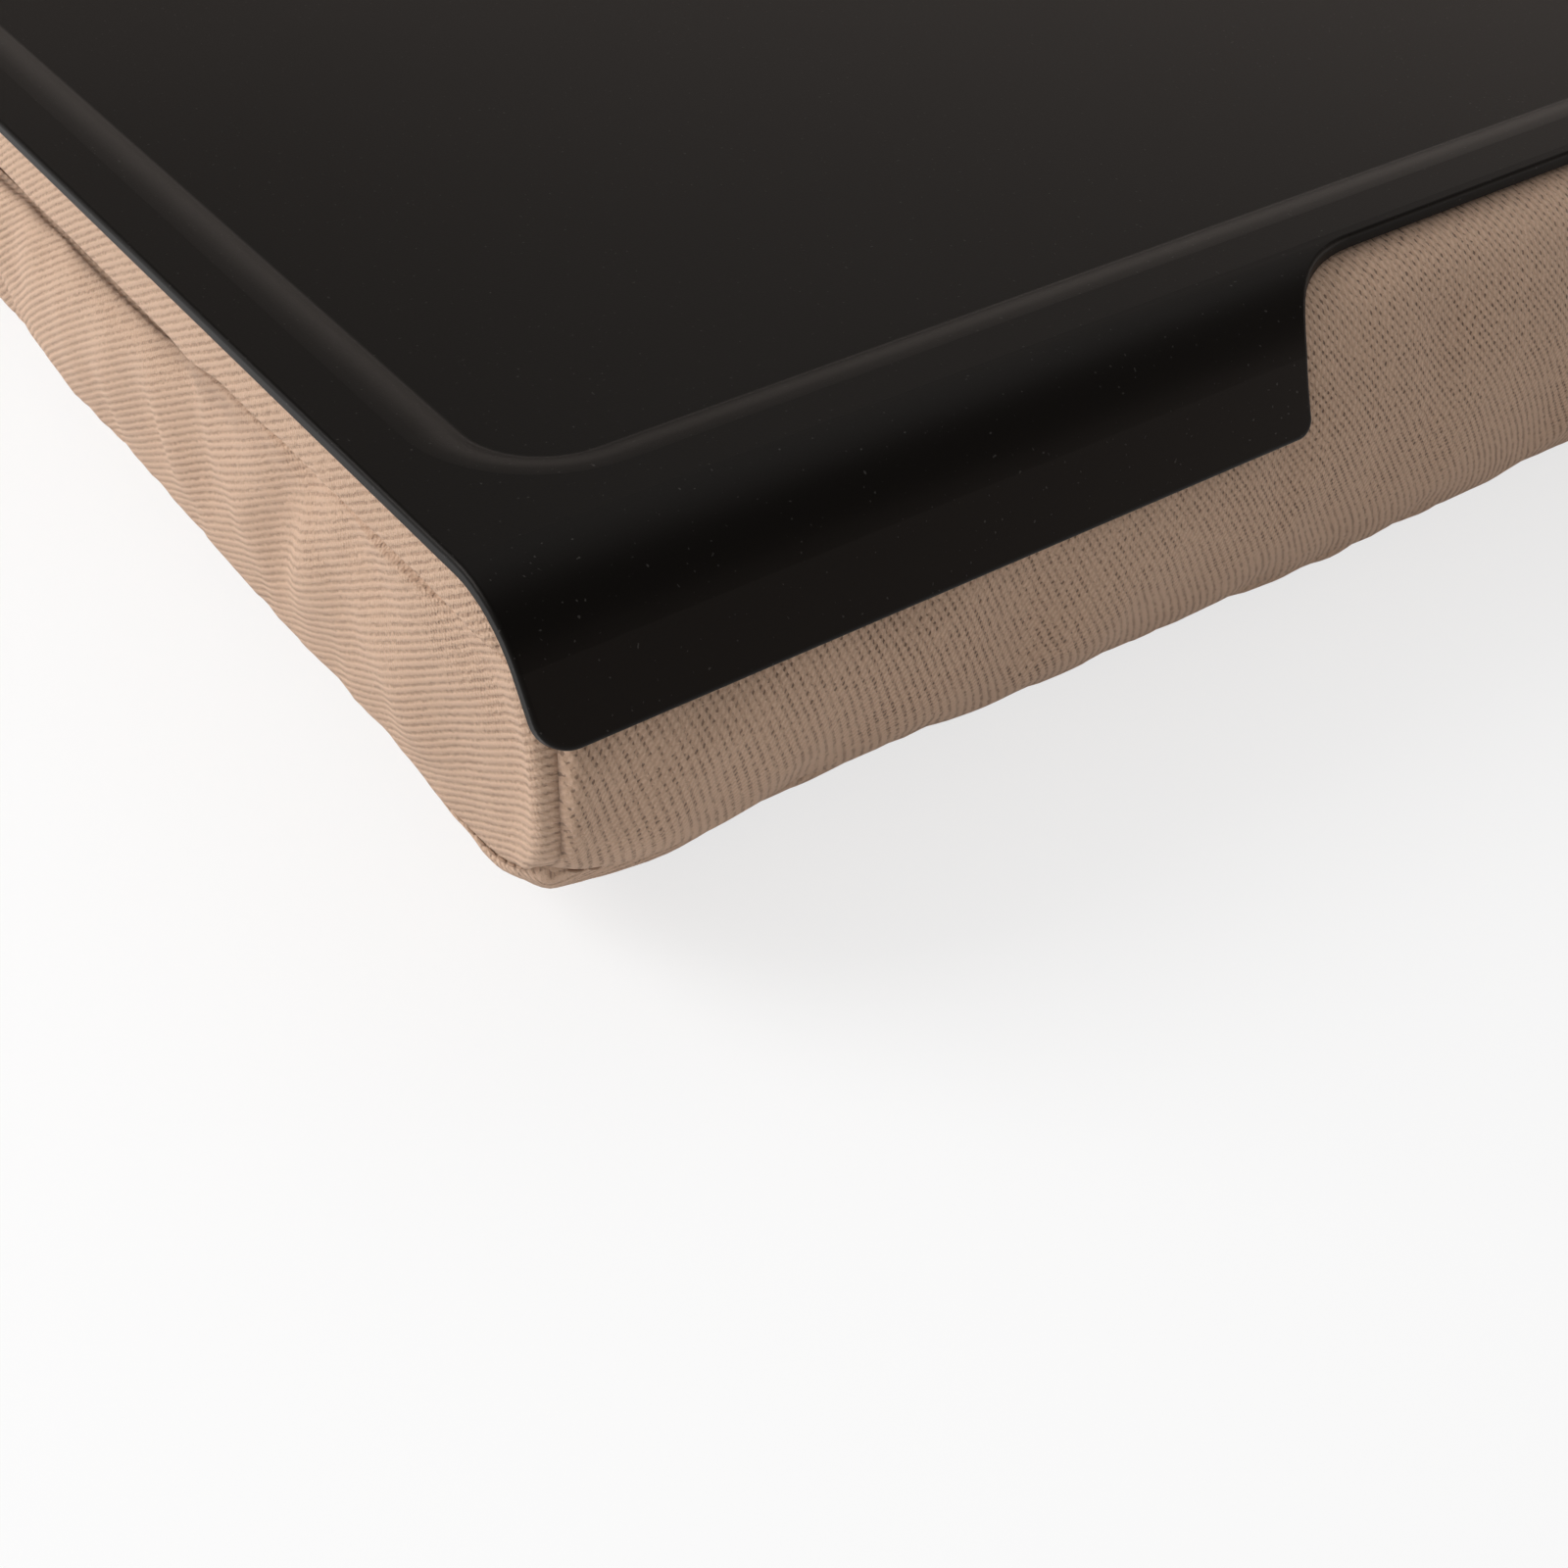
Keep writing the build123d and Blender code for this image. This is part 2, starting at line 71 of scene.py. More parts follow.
class Shade:
    """A shader socket that can be used in sums and products."""

    def __init__(self, kit: "NodeKit", socket: Any) -> None:
        """Args:
            kit: The node kit of the material.
            socket: The output socket that holds the value.
        """
        self.kit = kit
        self.socket = socket

    def _sum(self, operation: str, first: Any, second: Any) -> "Shade":
        """A Math node on two values."""
        return self.kit.make("ShaderNodeMath", {"operation": operation}, {0: first, 1: second})

    def __add__(self, other: Any) -> "Shade":
        """Sum."""
        return self._sum("ADD", self, other)

    __radd__ = __add__

    def __sub__(self, other: Any) -> "Shade":
        """Difference."""
        return self._sum("SUBTRACT", self, other)

    def __rsub__(self, other: Any) -> "Shade":
        """Difference from a number."""
        return self._sum("SUBTRACT", other, self)

    def __mul__(self, other: Any) -> "Shade":
        """Product."""
        return self._sum("MULTIPLY", self, other)

    __rmul__ = __mul__

    def cosine(self) -> "Shade":
        """Cosine of an angle in radians."""
        return self._sum("COSINE", self, 0.0)

    def clamped(self) -> "Shade":
        """The value held between 0 and 1."""
        return self.kit.make("ShaderNodeClamp", {}, {"Value": self, "Min": 0.0, "Max": 1.0})

    def smooth(self, low: float, high: float) -> "Shade":
        """A soft step from 0 at the low value to 1 at the high one."""
        return self.kit.make(
            "ShaderNodeMapRange",
            {"interpolation_type": "SMOOTHSTEP"},
            {"Value": self, "From Min": low, "From Max": high},
        )


class NodeKit:
    """Builds one material's nodes round its Principled shader."""

    def __init__(self, name: str) -> None:
        """Starts a material with a bare Principled shader.

        Args:
            name: The material's name.
        """
        self.material = bpy.data.materials.new(name)
        self.material.use_nodes = True
        self.tree = self.material.node_tree
        self.shader = self.tree.nodes["Principled BSDF"]

    def plug(self, target: Any, value: Any) -> None:
        """Sets a socket to a number or links it to a shade.

        Args:
            target: The input socket.
            value: The number, colour or shade.
        """
        if isinstance(value, Shade):
            self.tree.links.new(value.socket, target)
        else:
            target.default_value = value

    def make(self, kind: str, settings: dict, values: dict, output: Any = 0) -> Shade:
        """Any node, made from its type, its settings and its sockets' values.

        Args:
            kind: The node's type.
            settings: The node's own settings.
            values: Socket names or numbers with their values or shades.
            output: The name or number of the output that is wanted.

        Returns:
            The output as a shade.
        """
        node = self.tree.nodes.new(kind)
        for key, value in settings.items():
            setattr(node, key, value)
        for key, value in values.items():
            self.plug(node.inputs[key], value)
        return Shade(self, node.outputs[output])

    def place(self) -> Shade:
        """Position on the object in millimetres."""
        coordinates = self.make("ShaderNodeTexCoord", {}, {}, "Object")
        return self.make(
            "ShaderNodeVectorMath", {"operation": "SCALE"}, {0: coordinates, "Scale": 1 / MM}
        )

    def along(self, vector: Shade, axis: Sequence[float]) -> Shade:
        """The part of a vector along an axis."""
        values = {0: vector, 1: tuple(axis)}
        return self.make("ShaderNodeVectorMath", {"operation": "DOT_PRODUCT"}, values, "Value")

    def noise(self, vector: Shade, size: float, detail: float = 2.0, rough: float = 0.5) -> Shade:
        """Noise from 0 to 1 whose blotches have a size in millimetres."""
        return self.make(
            "ShaderNodeTexNoise",
            {"noise_dimensions": "3D"},
            {"Vector": vector, "Scale": 1 / size, "Detail": detail, "Roughness": rough},
        )

    def blend(self, mask: Any, low: Any, high: Any) -> Shade:
        """A colour between two others.

        Args:
            mask: Share of the second colour, from 0 to 1.
            low: The first colour, as numbers or a shade.
            high: The second colour, as numbers or a shade.

        Returns:
            The blended colour.
        """
        low = low if isinstance(low, Shade) else (*low, 1.0)
        high = high if isinstance(high, Shade) else (*high, 1.0)
        return self.make(
            "ShaderNodeMix", {"data_type": "RGBA"}, {"Factor": mask, 6: low, 7: high}, 2
        )

    def bump(self, height: Shade, depth: float) -> Shade:
        """A bumped normal, whose height of 1 stands for a depth in metres."""
        values = {"Strength": 1.0, "Distance": depth, "Height": height}
        return self.make("ShaderNodeBump", {}, values)

    def finish(self, **sockets: Any) -> bpy.types.Material:
        """Sets the shader's sockets and hands the material over.

        Args:
            sockets: Numbers, colours or shades, keyed by the socket's name in small letters.

        Returns:
            The material.
        """
        for key, value in sockets.items():
            name = key.replace("_", " ").title().replace("Ior", "IOR")
            self.plug(self.shader.inputs[name], value)
        return self.material


@dataclass(frozen=True)
class TwillCloth:
    """Brushed cotton twill, whose lines run at an angle across one panel, in millimetres."""

    name: str
    across: Triple
    upward: Triple
    angle: float
    # How far the lines lean over, and where along the panel that starts and ends
    pull: Triple = (0.0, 0.0, 0.0)
    pull_level: float = 30.0
    # How many lines the cloth swings by, where it does most, and over what length
    swing: float = 0.0
    swing_peak: float = 177.0
    swing_length: float = 220.0
    sway: float = 0.8
    fray: float = 0.75
    # Painted shade of the lap's flap darkens the cloth below it, between these heights and out to
    # these places
    lap_shade: bool = False
    lap_shade_heights: Pair = (45.5, 49.5)
    lap_shade_reach: Pair = (105.0, 160.0)
    # Strength of the painted shade in the weave's pits
    pit_shade: float = 0.55
    knots: float = 0.2
    pitch: float = 1.17
    yarn: float = 0.62
    colour: Triple = (0.685, 0.465, 0.327)
    groove: Triple = (0.49, 0.31, 0.207)
    # Colour of the painted shade in the weave's pits and under the lap's flap
    painted_shade: Triple = (0.17, 0.095, 0.056)

    def material(self) -> bpy.types.Material:
        """Builds the material.

        Returns:
            The cloth's material.
        """
        kit = NodeKit(self.name)
        place = kit.place()
        sway = kit.noise(place, 40.0, 1.0) - 0.5
        fray = kit.noise(place, 1.1, 4.0, 0.75) - 0.5
        u = kit.along(place, self.across)
        v = kit.along(place, self.upward)
        turn = math.radians(self.angle)
        lines = v * (math.cos(turn) / self.pitch) - u * (math.sin(turn) / self.pitch)
        lines = lines + sway * self.sway + fray * self.fray
        if self.swing:
            phase = (u - self.swing_peak) * (math.tau / self.swing_length)
            lines = lines + phase.cosine() * self.swing
        amount, start, end = self.pull
        if amount:
            share = ((u - start) * (1 / (end - start))).clamped()
            lean = amount * math.cos(turn) / self.pitch
            lines = lines - (v - self.pull_level) * share * lean
        yarns = u * (math.cos(turn) / self.yarn) + v * (math.sin(turn) / self.yarn)
        yarns = yarns + lines * 0.5 + fray * 0.35
        rib = (lines * math.tau).cosine() * 0.5 + 0.5
        knot = (yarns * math.tau).cosine() * 0.5 + 0.5
        wear_and_pit_shade = kit.noise(place, 5.0, 3.0, 0.65).smooth(0.35, 0.7)
        fuzz = kit.noise(place, 0.45, 4.0, 0.75).smooth(0.25, 0.75)
        speck = kit.noise(place, 0.8, 1.0).smooth(0.32, 0.62)
        furrow = (1 - rib).smooth(0.45, 0.95)
        pit = furrow * knot.smooth(0.3, 0.9) * speck * (1 - wear_and_pit_shade * 0.5)
        height = rib * 0.36 + rib * knot * 0.4 - pit * 0.6 + fuzz * 0.4
        faint = 0.3 + speck * 0.3 + kit.noise(place, 9.0, 2.0).smooth(0.3, 0.7) * 0.4
        tone = 1.2 - furrow * faint * (1.2 - self.knots) - (1 - knot) * self.knots - fuzz * 0.42
        tone = tone.clamped()
        cloth = kit.blend(tone, self.groove, self.colour)
        # Painted shade in the weave's pits
        cloth = kit.blend(pit * self.pit_shade, cloth, self.painted_shade)
        blotch = kit.noise(place, 30.0, 3.0, 0.6).smooth(0.3, 0.7)
        faded_and_shaded = kit.blend(blotch * 0.25, cloth, self.colour)
        # Painted shade under the lap's flap, on the lower front band
        if self.lap_shade:
            inner, outer = self.lap_shade_reach
            under_flap = v.smooth(*self.lap_shade_heights) * (1 - (u * u).smooth(inner**2, outer**2))
            faded_and_shaded = kit.blend(under_flap * (0.3 + blotch * 0.25), faded_and_shaded, self.painted_shade)
        return kit.finish(
            base_color=faded_and_shaded,
            roughness=0.95,
            sheen_weight=0.12,
            sheen_roughness=0.5,
            normal=kit.bump(height, 0.3 * MM),
        )


@dataclass(frozen=True)
class MouldedShell:
    """Matte black moulded tray with a fine grain and specks of dust."""

    name: str = "tray_black"

    def material(self) -> bpy.types.Material:
        """Builds the material.

        Returns:
            The tray's material.
        """
        kit = NodeKit(self.name)
        place = kit.place()
        grain = kit.noise(place, 0.35, 3.0, 0.6)
        cloud = kit.noise(place, 60.0, 2.0)
        dust = kit.noise(place, 0.55, 0.0).smooth(0.79, 0.86) * kit.noise(place, 45.0, 2.0)
        colour = kit.blend(cloud, (0.0029, 0.0026, 0.0023), (0.0040, 0.0036, 0.0032))
        colour = kit.blend(dust * 0.35, colour, (0.16, 0.15, 0.14))
        return kit.finish(
            base_color=colour,
            roughness=grain * 0.08 + 0.37,
            specular_ior_level=0.1,
            specular_tint=(1.0, 0.9, 0.84, 1.0),
            normal=kit.bump(grain, 0.01 * MM),
        )


@dataclass(frozen=True)
class PlainFinish:
    """A fine-grained finish for the small pieces, with grain size and depth in millimetres."""

    name: str
    dark: Triple
    light: Triple
    size: float
    depth: float
    roughness: float
    metallic: float = 0.0

    def material(self) -> bpy.types.Material:
        """Builds the material.

        Returns:
            The piece's material.
        """
        kit = NodeKit(self.name)
        place = kit.place()
        grain = kit.noise(place, self.size, 3.0, 0.6)
        return kit.finish(
            base_color=kit.blend(grain, self.dark, self.light),
            roughness=grain * 0.15 + self.roughness,
            metallic=self.metallic,
            normal=kit.bump(grain, self.depth * MM),
        )


def panel_cloth(name: str) -> TwillCloth:
    """The twill of a cover panel, laid the way that panel was cut.

    Args:
        name: The panel's node name.

    Returns:
        The finish for it.
    """
    title = f"{name}_twill"
    up = (0, 0, 1)
    # The end bands, which the light grazes, get more painted shade in their pits
    wear_and_pit_shade = {"pit_shade": END_PIT_SHADE, "yarn": END_YARN, "knots": END_KNOTS}
    if "end_band_right" in name:
        return TwillCloth(title, (0, 1, 0), up, END_ANGLE, (0.55, -60.0, -170.0), **wear_and_pit_shade)
    if "end_band_left" in name:
        return TwillCloth(title, (0, -1, 0), up, END_ANGLE, (0.4, -70.0, -170.0), **wear_and_pit_shade)
    if "back_band" in name:
        return TwillCloth(title, (-1, 0, 0), up, SIDE_ANGLE, swing=1.2)
    if "front" in name:
        # Only the lower front band gets the painted shade under the lap's flap
        lap_shade = name.endswith("lower")
        return TwillCloth(title, (1, 0, 0), up, SIDE_ANGLE, swing=1.63, lap_shade=lap_shade)
    return TwillCloth(title, (1, 0, 0), (0, 1, 0), FLAT_ANGLE)


def link(title: str, data: Any) -> bpy.types.Object:
    """Makes an object and links it to the scene.

    Args:
        title: The object's name.
        data: Its mesh, lamp or camera.

    Returns:
        The object.
    """
    made = bpy.data.objects.new(title, data)
    bpy.context.scene.collection.objects.link(made)
    return made


def smooth_object(
    title: str, points: Sequence[Sequence[float]], faces: Sequence[tuple[int, ...]]
) -> bpy.types.Object:
    """Makes a smooth-shaded object.

    Args:
        title: The object's name.
        points: Its points, in metres.
        faces: Its faces.

    Returns:
        The object.
    """
    mesh = bpy.data.meshes.new(title)
    mesh.from_pydata(points, [], faces)
    mesh.polygons.foreach_set("use_smooth", [True] * len(mesh.polygons))
    mesh.update()
    return link(title, mesh)


def thicken(piece: bpy.types.Object, thickness: float) -> None:
    """Gives cloth its thickness, inward from its outer face.

    Args:
        piece: The cloth.
        thickness: Its thickness in millimetres.
    """
    modifier = piece.modifiers.new("thickness", "SOLIDIFY")
    modifier.thickness = thickness * MM
    modifier.offset = -1


def declare_soft(piece: bpy.types.Object, node: str) -> None:
    """Attaches a padded piece to the cushion and hides the node that it stands in for.

    Args:
        piece: The piece.
        node: The node that it replaces.
    """
    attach(piece, "cushion")
    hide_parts(node)


@dataclass(frozen=True)
class Thread:
    """Sewing thread that lies along a seam in short slack stitches, in millimetres."""

    gap: float = 3.1
    span: float = 2.3
    thick: float = 0.27
    around: int = 6
    lift: float = 0.32
    ahead: float = 0.4
    shares: tuple[float, ...] = (0.0, 0.16, 0.5, 0.84, 1.0)

    def ring(self, share: float, middle: Vector, ahead: Vector, normal: Vector) -> list[Vector]:
        """One ring of points round a stitch.

        Args:
            share: How far along the stitch the ring lies, from 0 to 1.
            middle: The seam's point there.
            ahead: The seam's point a little further on.
            normal: The cloth's normal there.

        Returns:
            The ring's points.
        """
        along = (ahead - middle).normalized()
        up = (normal - along * normal.dot(along)).normalized()
        side = along.cross(up)
        bulge = math.sin(math.pi * (0.08 + 0.84 * share)) ** 0.5
        centre = middle + up * (0.22 * bulge - 0.15)
        return [
            centre + (side * math.cos(turn) + up * math.sin(turn)) * self.thick * bulge
            for turn in (math.tau * k / self.around for k in range(self.around))
        ]

    def sew(self, path: np.ndarray, normals: np.ndarray) -> tuple[list, list]:
        """The stitches along one seam.

        Args:
            path: Points along the seam.
            normals: The cloth's normals there.

        Returns:
            The stitches' points and faces.
        """
        steps = np.linalg.norm(np.diff(path, axis=0), axis=1)
        length = np.concatenate(([0], np.cumsum(steps)))

        def at(place: float, values: np.ndarray) -> Vector:
            """The path's or the normals' value at a place along the seam."""
            return Vector([np.interp(place, length, values[:, k]) for k in range(3)])

        points: list[Vector] = []
        faces: list[tuple[int, ...]] = []
        for start in np.arange(self.gap, length[-1] - self.gap, self.gap):
            base = len(points)
            for share in self.shares:
                place = start + self.span * share
                ahead = at(place + self.ahead, path)
                points += self.ring(share, at(place, path), ahead, at(place, normals))
            last = len(points) - self.around
            faces.append(tuple(base + k for k in range(self.around))[::-1])
            faces.append(tuple(last + k for k in range(self.around)))
            for row in range(base, last, self.around):
                for k in range(self.around):
                    a, b = row + k, row + (k + 1) % self.around
                    faces.append((a, b, b + self.around, a + self.around))
        return points, faces


@dataclass(frozen=True)
class Row:
    """One ring of the cover's skin, in millimetres."""

    half_x: float
    half_y: float
    corner: float
    end_z: float
    side_z: float
    bow: float = 0.0


@dataclass(frozen=True)
class Fold:
    """A soft ridge on one side of the cushion, or a valley where its height is negative."""

    low: float
    low_z: float
    high: float
    high_z: float
    width: float
    height: float

    def lift(self, along: np.ndarray, up: np.ndarray) -> np.ndarray:
        """How far the fold lifts points, given along the side and upward.

        Args:
            along: Places along the side.
            up: Heights.

        Returns:
            The lift of each point.
        """
        share = np.clip((up - self.low_z) / (self.high_z - self.low_z), -0.2, 1.2)
        middle = self.low + (self.high - self.low) * share
        above_seam = np.clip((up - 16) / 9, 0, 1)
        fade = np.clip(1.2 - np.abs(share * 2 - 1), 0, 1) ** 0.7 * above_seam
        return self.height * fade * np.exp(-(((along - middle) / self.width) ** 2))


@dataclass(frozen=True)
class Hem:
    """How far one row at the lap stands out and up, and how much more where the lap gapes."""

    out: float = 0.0
    out_open: float = 0.0
    up: float = 0.0
    up_open: float = 0.0


@dataclass(frozen=True)
class CoverForm:
    """The stuffed cover's outer form as rings of points, in millimetres."""

    side_x: int = 104
    side_y: int = 84
    corner_steps: int = 6
    rows: tuple[Row, ...] = tuple(
        Row(*sizes)
        for sizes in (
            (190, 168, 14, 59.3, 59.3), (198, 176, 13, 60.2, 60.3), (204, 181.5, 12, 61.6, 61.6),
            (209, 185, 10, 62.2, 62.1), (213.5, 187.2, 9, 61.8, 61.4),
            (217.2, 188.1, 8, 60.2, 59.8), (220.2, 188.3, 7.5, 58, 57.4),
            (222.6, 188.3, 7, 55.1, 55), (223.7, 188.3, 7, 53.1, 53.1),
            (223.8, 188.25, 7, 52.9, 52.9), (223.9, 188.2, 7, 52.7, 52.7),
            (224, 188.15, 7, 52.4, 52.4), (224.15, 188.1, 7, 52.15, 52.15),
            (224.3, 188.05, 7, 51.9, 51.9), (225.4, 188.1, 7, 49.9, 49.9),
            (227.7, 188.5, 7, 45.3, 45.3), (228.5, 189.1, 7, 41.5, 41.5),
            (228.95, 189.6, 7, 37.5, 37.5), (229.1, 189.8, 7, 33.5, 33.5, 0.3),
            (229, 189.75, 7, 29.5, 29.5, 0.5), (228.5, 189.6, 7, 25.7, 25.7, 0.7),
            (227.2, 189.3, 7, 21.8, 21.8, 1), (224.7, 188.9, 7, 17.6, 17.6, 1.25),
            (221, 188.4, 7, 13.5, 13.5, 1.5),
        )
    )
    top_seam: int = 3
    flap_row: int = 8
    lap_row: int = 12
    hem_rows: int = 6
    # The rows at the lap, from two above the flap's edge downward
    first_hem: int = -2
    hems: tuple[Hem, ...] = (
        Hem(-0.35), Hem(-0.85), Hem(-1.35, 0.4), Hem(-0.95, 1.45, -0.1, 0.2),
        Hem(1.0, -0.05, -0.15, 2.35), Hem(1.1, 1.8, 0.25, -3.05), Hem(0.35, 1.75, 0.15),
        Hem(-0.05, 0.85), Hem(-0.2, 0.75), Hem(-0.1, 0.3),
    )
    # Where the lap stops gaping and the long band stops being puffed out, and over what length
    gape_end: Pair = (124.0, 4.0)
    puff_end: Pair = (221.0, 6.0)
    # Below this height the rows follow the lower seam more and more
    sag_top: float = 37.0
    sag_power: float = 1.3
    patch_inset_x: float = 96.0
    patch_inset_y: float = 88.0
    # Share of the underside's fall at shares of the way in from its edge
    crown: Places = ((0.0, 0.0), (0.08, 0.4), (0.3, 0.74), (0.65, 0.96), (0.76, 1.0))
    seam_fade: float = 14.0
    slit_reach: float = 150.0
    top_z: float = 59.3
    pad_dip: float = 1.42
    pad_reach: float = 26.0
    pad_fade: float = 12.0
    pad_place: Pair = (125.0, 100.0)
    # Height of the lower seam at places along the long sides and the ends
    side_seam: Places = (
        (0, 13), (30, 14), (46, 11.6), (56, 10.6), (76, 12), (120, 12), (140, 11.8), (160, 13.6),
        (178, 14.4), (192, 12.4), (204, 12.4), (211, 14.6), (217, 18), (222, 20.9),
    )
    end_seam: Places = (
        (-188, 20.9), (-183, 18.7), (-178, 16.9), (-165, 15.2), (-150, 15.9), (-130, 15),
        (-112, 13.6), (-80, 12.3), (-60, 12.1), (-30, 10.7), (0, 11.4), (45, 13), (90, 11.6),
        (130, 14.5), (160, 13.6), (180, 17), (188, 21),
    )
    # Heights of the flap's edge and of the cloth's edge below it, at places along the long side
    flap: Places = (
        (0, 52.8), (20, 52.6), (45, 52.9), (62, 52.5), (84, 52.8), (118, 52.7), (130, 53.1),
        (137, 54.8), (157, 55), (172, 55.25), (212, 55.3), (224, 53.6), (230, 53.1),
    )
    below: Places = (
        (0, 47.3), (40, 47.4), (64, 48), (90, 48.1), (108, 48.5), (118, 49.3), (125, 50.2),
        (134, 51.1), (143.5, 51.3), (147, 51.6), (157, 51.8), (172, 52.3), (212, 52.5),
        (224, 52.1), (230, 51.9),
    )
    # How far the flap is raised over the pull tab, at places along the front from the left
    raised: Places = ((-158, 0), (-150, 0.6), (-138, 0.6), (-132, 1.9), (-117, 1.9), (-108, 0))

    def ring(self, row: Row) -> np.ndarray:
        """Plan points of one row, from the middle of the right front corner round.

        Args:
            row: The row's sizes.

        Returns:
            An array of plan points.
        """
        half_steps = self.corner_steps // 2
        half_x, half_y, corner = row.half_x, row.half_y, row.corner
        spans = (
            (self.side_y, (half_x, corner - half_y), (half_x, half_y - corner)),
            (self.side_x, (half_x - corner, half_y), (corner - half_x, half_y)),
            (self.side_y, (-half_x, half_y - corner), (-half_x, corner - half_y)),
            (self.side_x, (corner - half_x, -half_y), (half_x - corner, -half_y)),
        )
        points = []
        for side, (steps, first, last) in zip(Side, spans):
            start, end = np.array(first), np.array(last)
            turn = side.value * math.pi / 2
            outward = np.array((math.cos(turn), math.sin(turn)))
            for k in range(-half_steps, half_steps):
                if k == 0:
                    for step in range(steps + 1):
                        share = step / steps
                        sag = 4 * share * (1 - share) * row.bow
                        points.append(start + (end - start) * share - outward * sag)
                    continue
                angle = turn + math.pi / 4 * k / half_steps
                heading = np.array((math.cos(angle), math.sin(angle)))
                points.append((start if k < 0 else end) + corner * (heading - outward))
        return np.array(points)

    def squares(self) -> tuple[int, int]:
        """Numbers of squares of the top and bottom panels along X and Y."""
        return self.side_x + self.corner_steps, self.side_y + self.corner_steps

    def column_sides(self) -> list[Side]:
        """The side that each column of squares lies on.

        Returns:
            One side for each column.
        """
        along_x, along_y = self.squares()
        return [
            side
            for side in Side
            for _ in range(along_y if side in (Side.RIGHT, Side.LEFT) else along_x)
        ]

    def long_weight(self) -> np.ndarray:
        """Share of the long sides' heights at each column, soft at the corners.

        Returns:
            The share of each column, from 0 to 1.
        """
        weight = np.array([float(s in (Side.BACK, Side.FRONT)) for s in self.column_sides()])
        weight = (weight + np.roll(weight, 1)) / 2
        for _ in range(3):
            weight = (np.roll(weight, 1) + weight * 2 + np.roll(weight, -1)) / 4
        return weight

    def seam_height(self, plan: np.ndarray) -> np.ndarray:
        """Height of the lower seam round the cushion.

        Args:
            plan: Plan points on the seam.

        Returns:
            The height at each point.
        """
        x, y = plan[..., 0], plan[..., 1]
        weight = self.long_weight()
        mirrored = np.where(y < 0, np.abs(x), np.abs(x - 14))
        side = np.interp(mirrored, *zip(*self.side_seam))
        end = np.interp(np.where(x > 0, y, -y * 0.97), *zip(*self.end_seam))
        return side * weight + end * (1 - weight)

    def band_points(self) -> np.ndarray:
        """Points of all the rows, sagging to the lower seam and shaped at the lap.

        Returns:
            An array of rows of points in space.
        """
        weight = self.long_weight()
        plans = [self.ring(row) for row in self.rows]
        last = self.rows[-1]
        drop = self.seam_height(plans[-1]) - last.end_z
        lap = plans[self.lap_row]
        front = lap[:, 1] < -self.rows[self.lap_row].half_y + 1.0
        along = np.abs(lap[:, 0])
        flap_edge = np.interp(along, *zip(*self.flap))
        flap_edge = flap_edge + np.interp(lap[:, 0], *zip(*self.raised))
        lower_edge = np.interp(along, *zip(*self.below))
        gaping = np.clip((self.gape_end[0] - along) / self.gape_end[1], 0, 1)
        puffed = np.clip((self.puff_end[0] - along) / self.puff_end[1], 0, 1)
        low = self.rows[self.flap_row + self.hem_rows + 1].side_z
        upper = self.rows[self.top_seam + 1].side_z
        edge_z = self.rows[self.flap_row].side_z
        hems = dict(enumerate(self.hems, self.first_hem))
        built = []
        for number, (row, plan) in enumerate(zip(self.rows, plans)):
            height = row.end_z * (1 - weight) + row.side_z * weight
            share = np.clip((self.sag_top - height) / (self.sag_top - last.end_z), 0, 1)
            height = height + drop * share**self.sag_power
            past = number - self.flap_row
            hem = hems.get(past, Hem())
            lifted = hem.up + hem.up_open * gaping
            if self.top_seam + 1 < number <= self.flap_row:
                rise = (row.side_z - edge_z) / (upper - edge_z)
                height = np.where(front, flap_edge + rise * (upper - flap_edge), height)
            elif past in (1, 2):
                height = np.where(front, flap_edge + lifted, height)
            elif past in (3, 4, 5):
                height = np.where(front, lower_edge + lifted, height)
            elif past == self.hem_rows:
                height = np.where(front, low + 0.55 * (lower_edge - low), height)
            points = np.column_stack((plan, height))
            points[:, 1] += np.where(front, hem.out * puffed + hem.out_open * gaping, 0)
            built.append(points)
        return np.array(built)

    def fill(self, ring: np.ndarray) -> np.ndarray:
        """A grid of points inside a ring, by blending its four sides.

        Args:
            ring: The ring's points.

        Returns:
            An array of columns along X by rows along Y.
        """
        nx, ny = self.squares()
        right = ring[0 : ny + 1]
        back = ring[ny : ny + nx + 1][::-1]
        left = ring[ny + nx : 2 * ny + nx + 1][::-1]
        front = np.vstack((ring[2 * ny + nx :], ring[:1]))
        s = np.linspace(0, 1, nx + 1)[:, None, None]
        t = np.linspace(0, 1, ny + 1)[None, :, None]
        across = left[None] * (1 - s) + right[None] * s
        along = front[:, None] * (1 - t) + back[:, None] * t
        corners = (
            front[0] * (1 - s) * (1 - t)
            + front[-1] * s * (1 - t)
            + back[0] * (1 - s) * t
            + back[-1] * s * t
        )
        return across + along - corners

    def rim_index(self, base: int) -> np.ndarray:
        """Numbers of a ring's points round the edge of a grid, and -1 inside it.

        Args:
            base: Number of the ring's first point.

        Returns:
            An array of the grid's size.
        """
        nx, ny = self.squares()
        index = -np.ones((nx + 1, ny + 1), dtype=int)
        index[nx, :] = base + np.arange(ny + 1)
        index[::-1, ny] = base + ny + np.arange(nx + 1)
        index[0, ::-1] = base + ny + nx + np.arange(ny + 1)
        index[:nx, 0] = base + 2 * ny + nx + np.arange(nx)
        return index

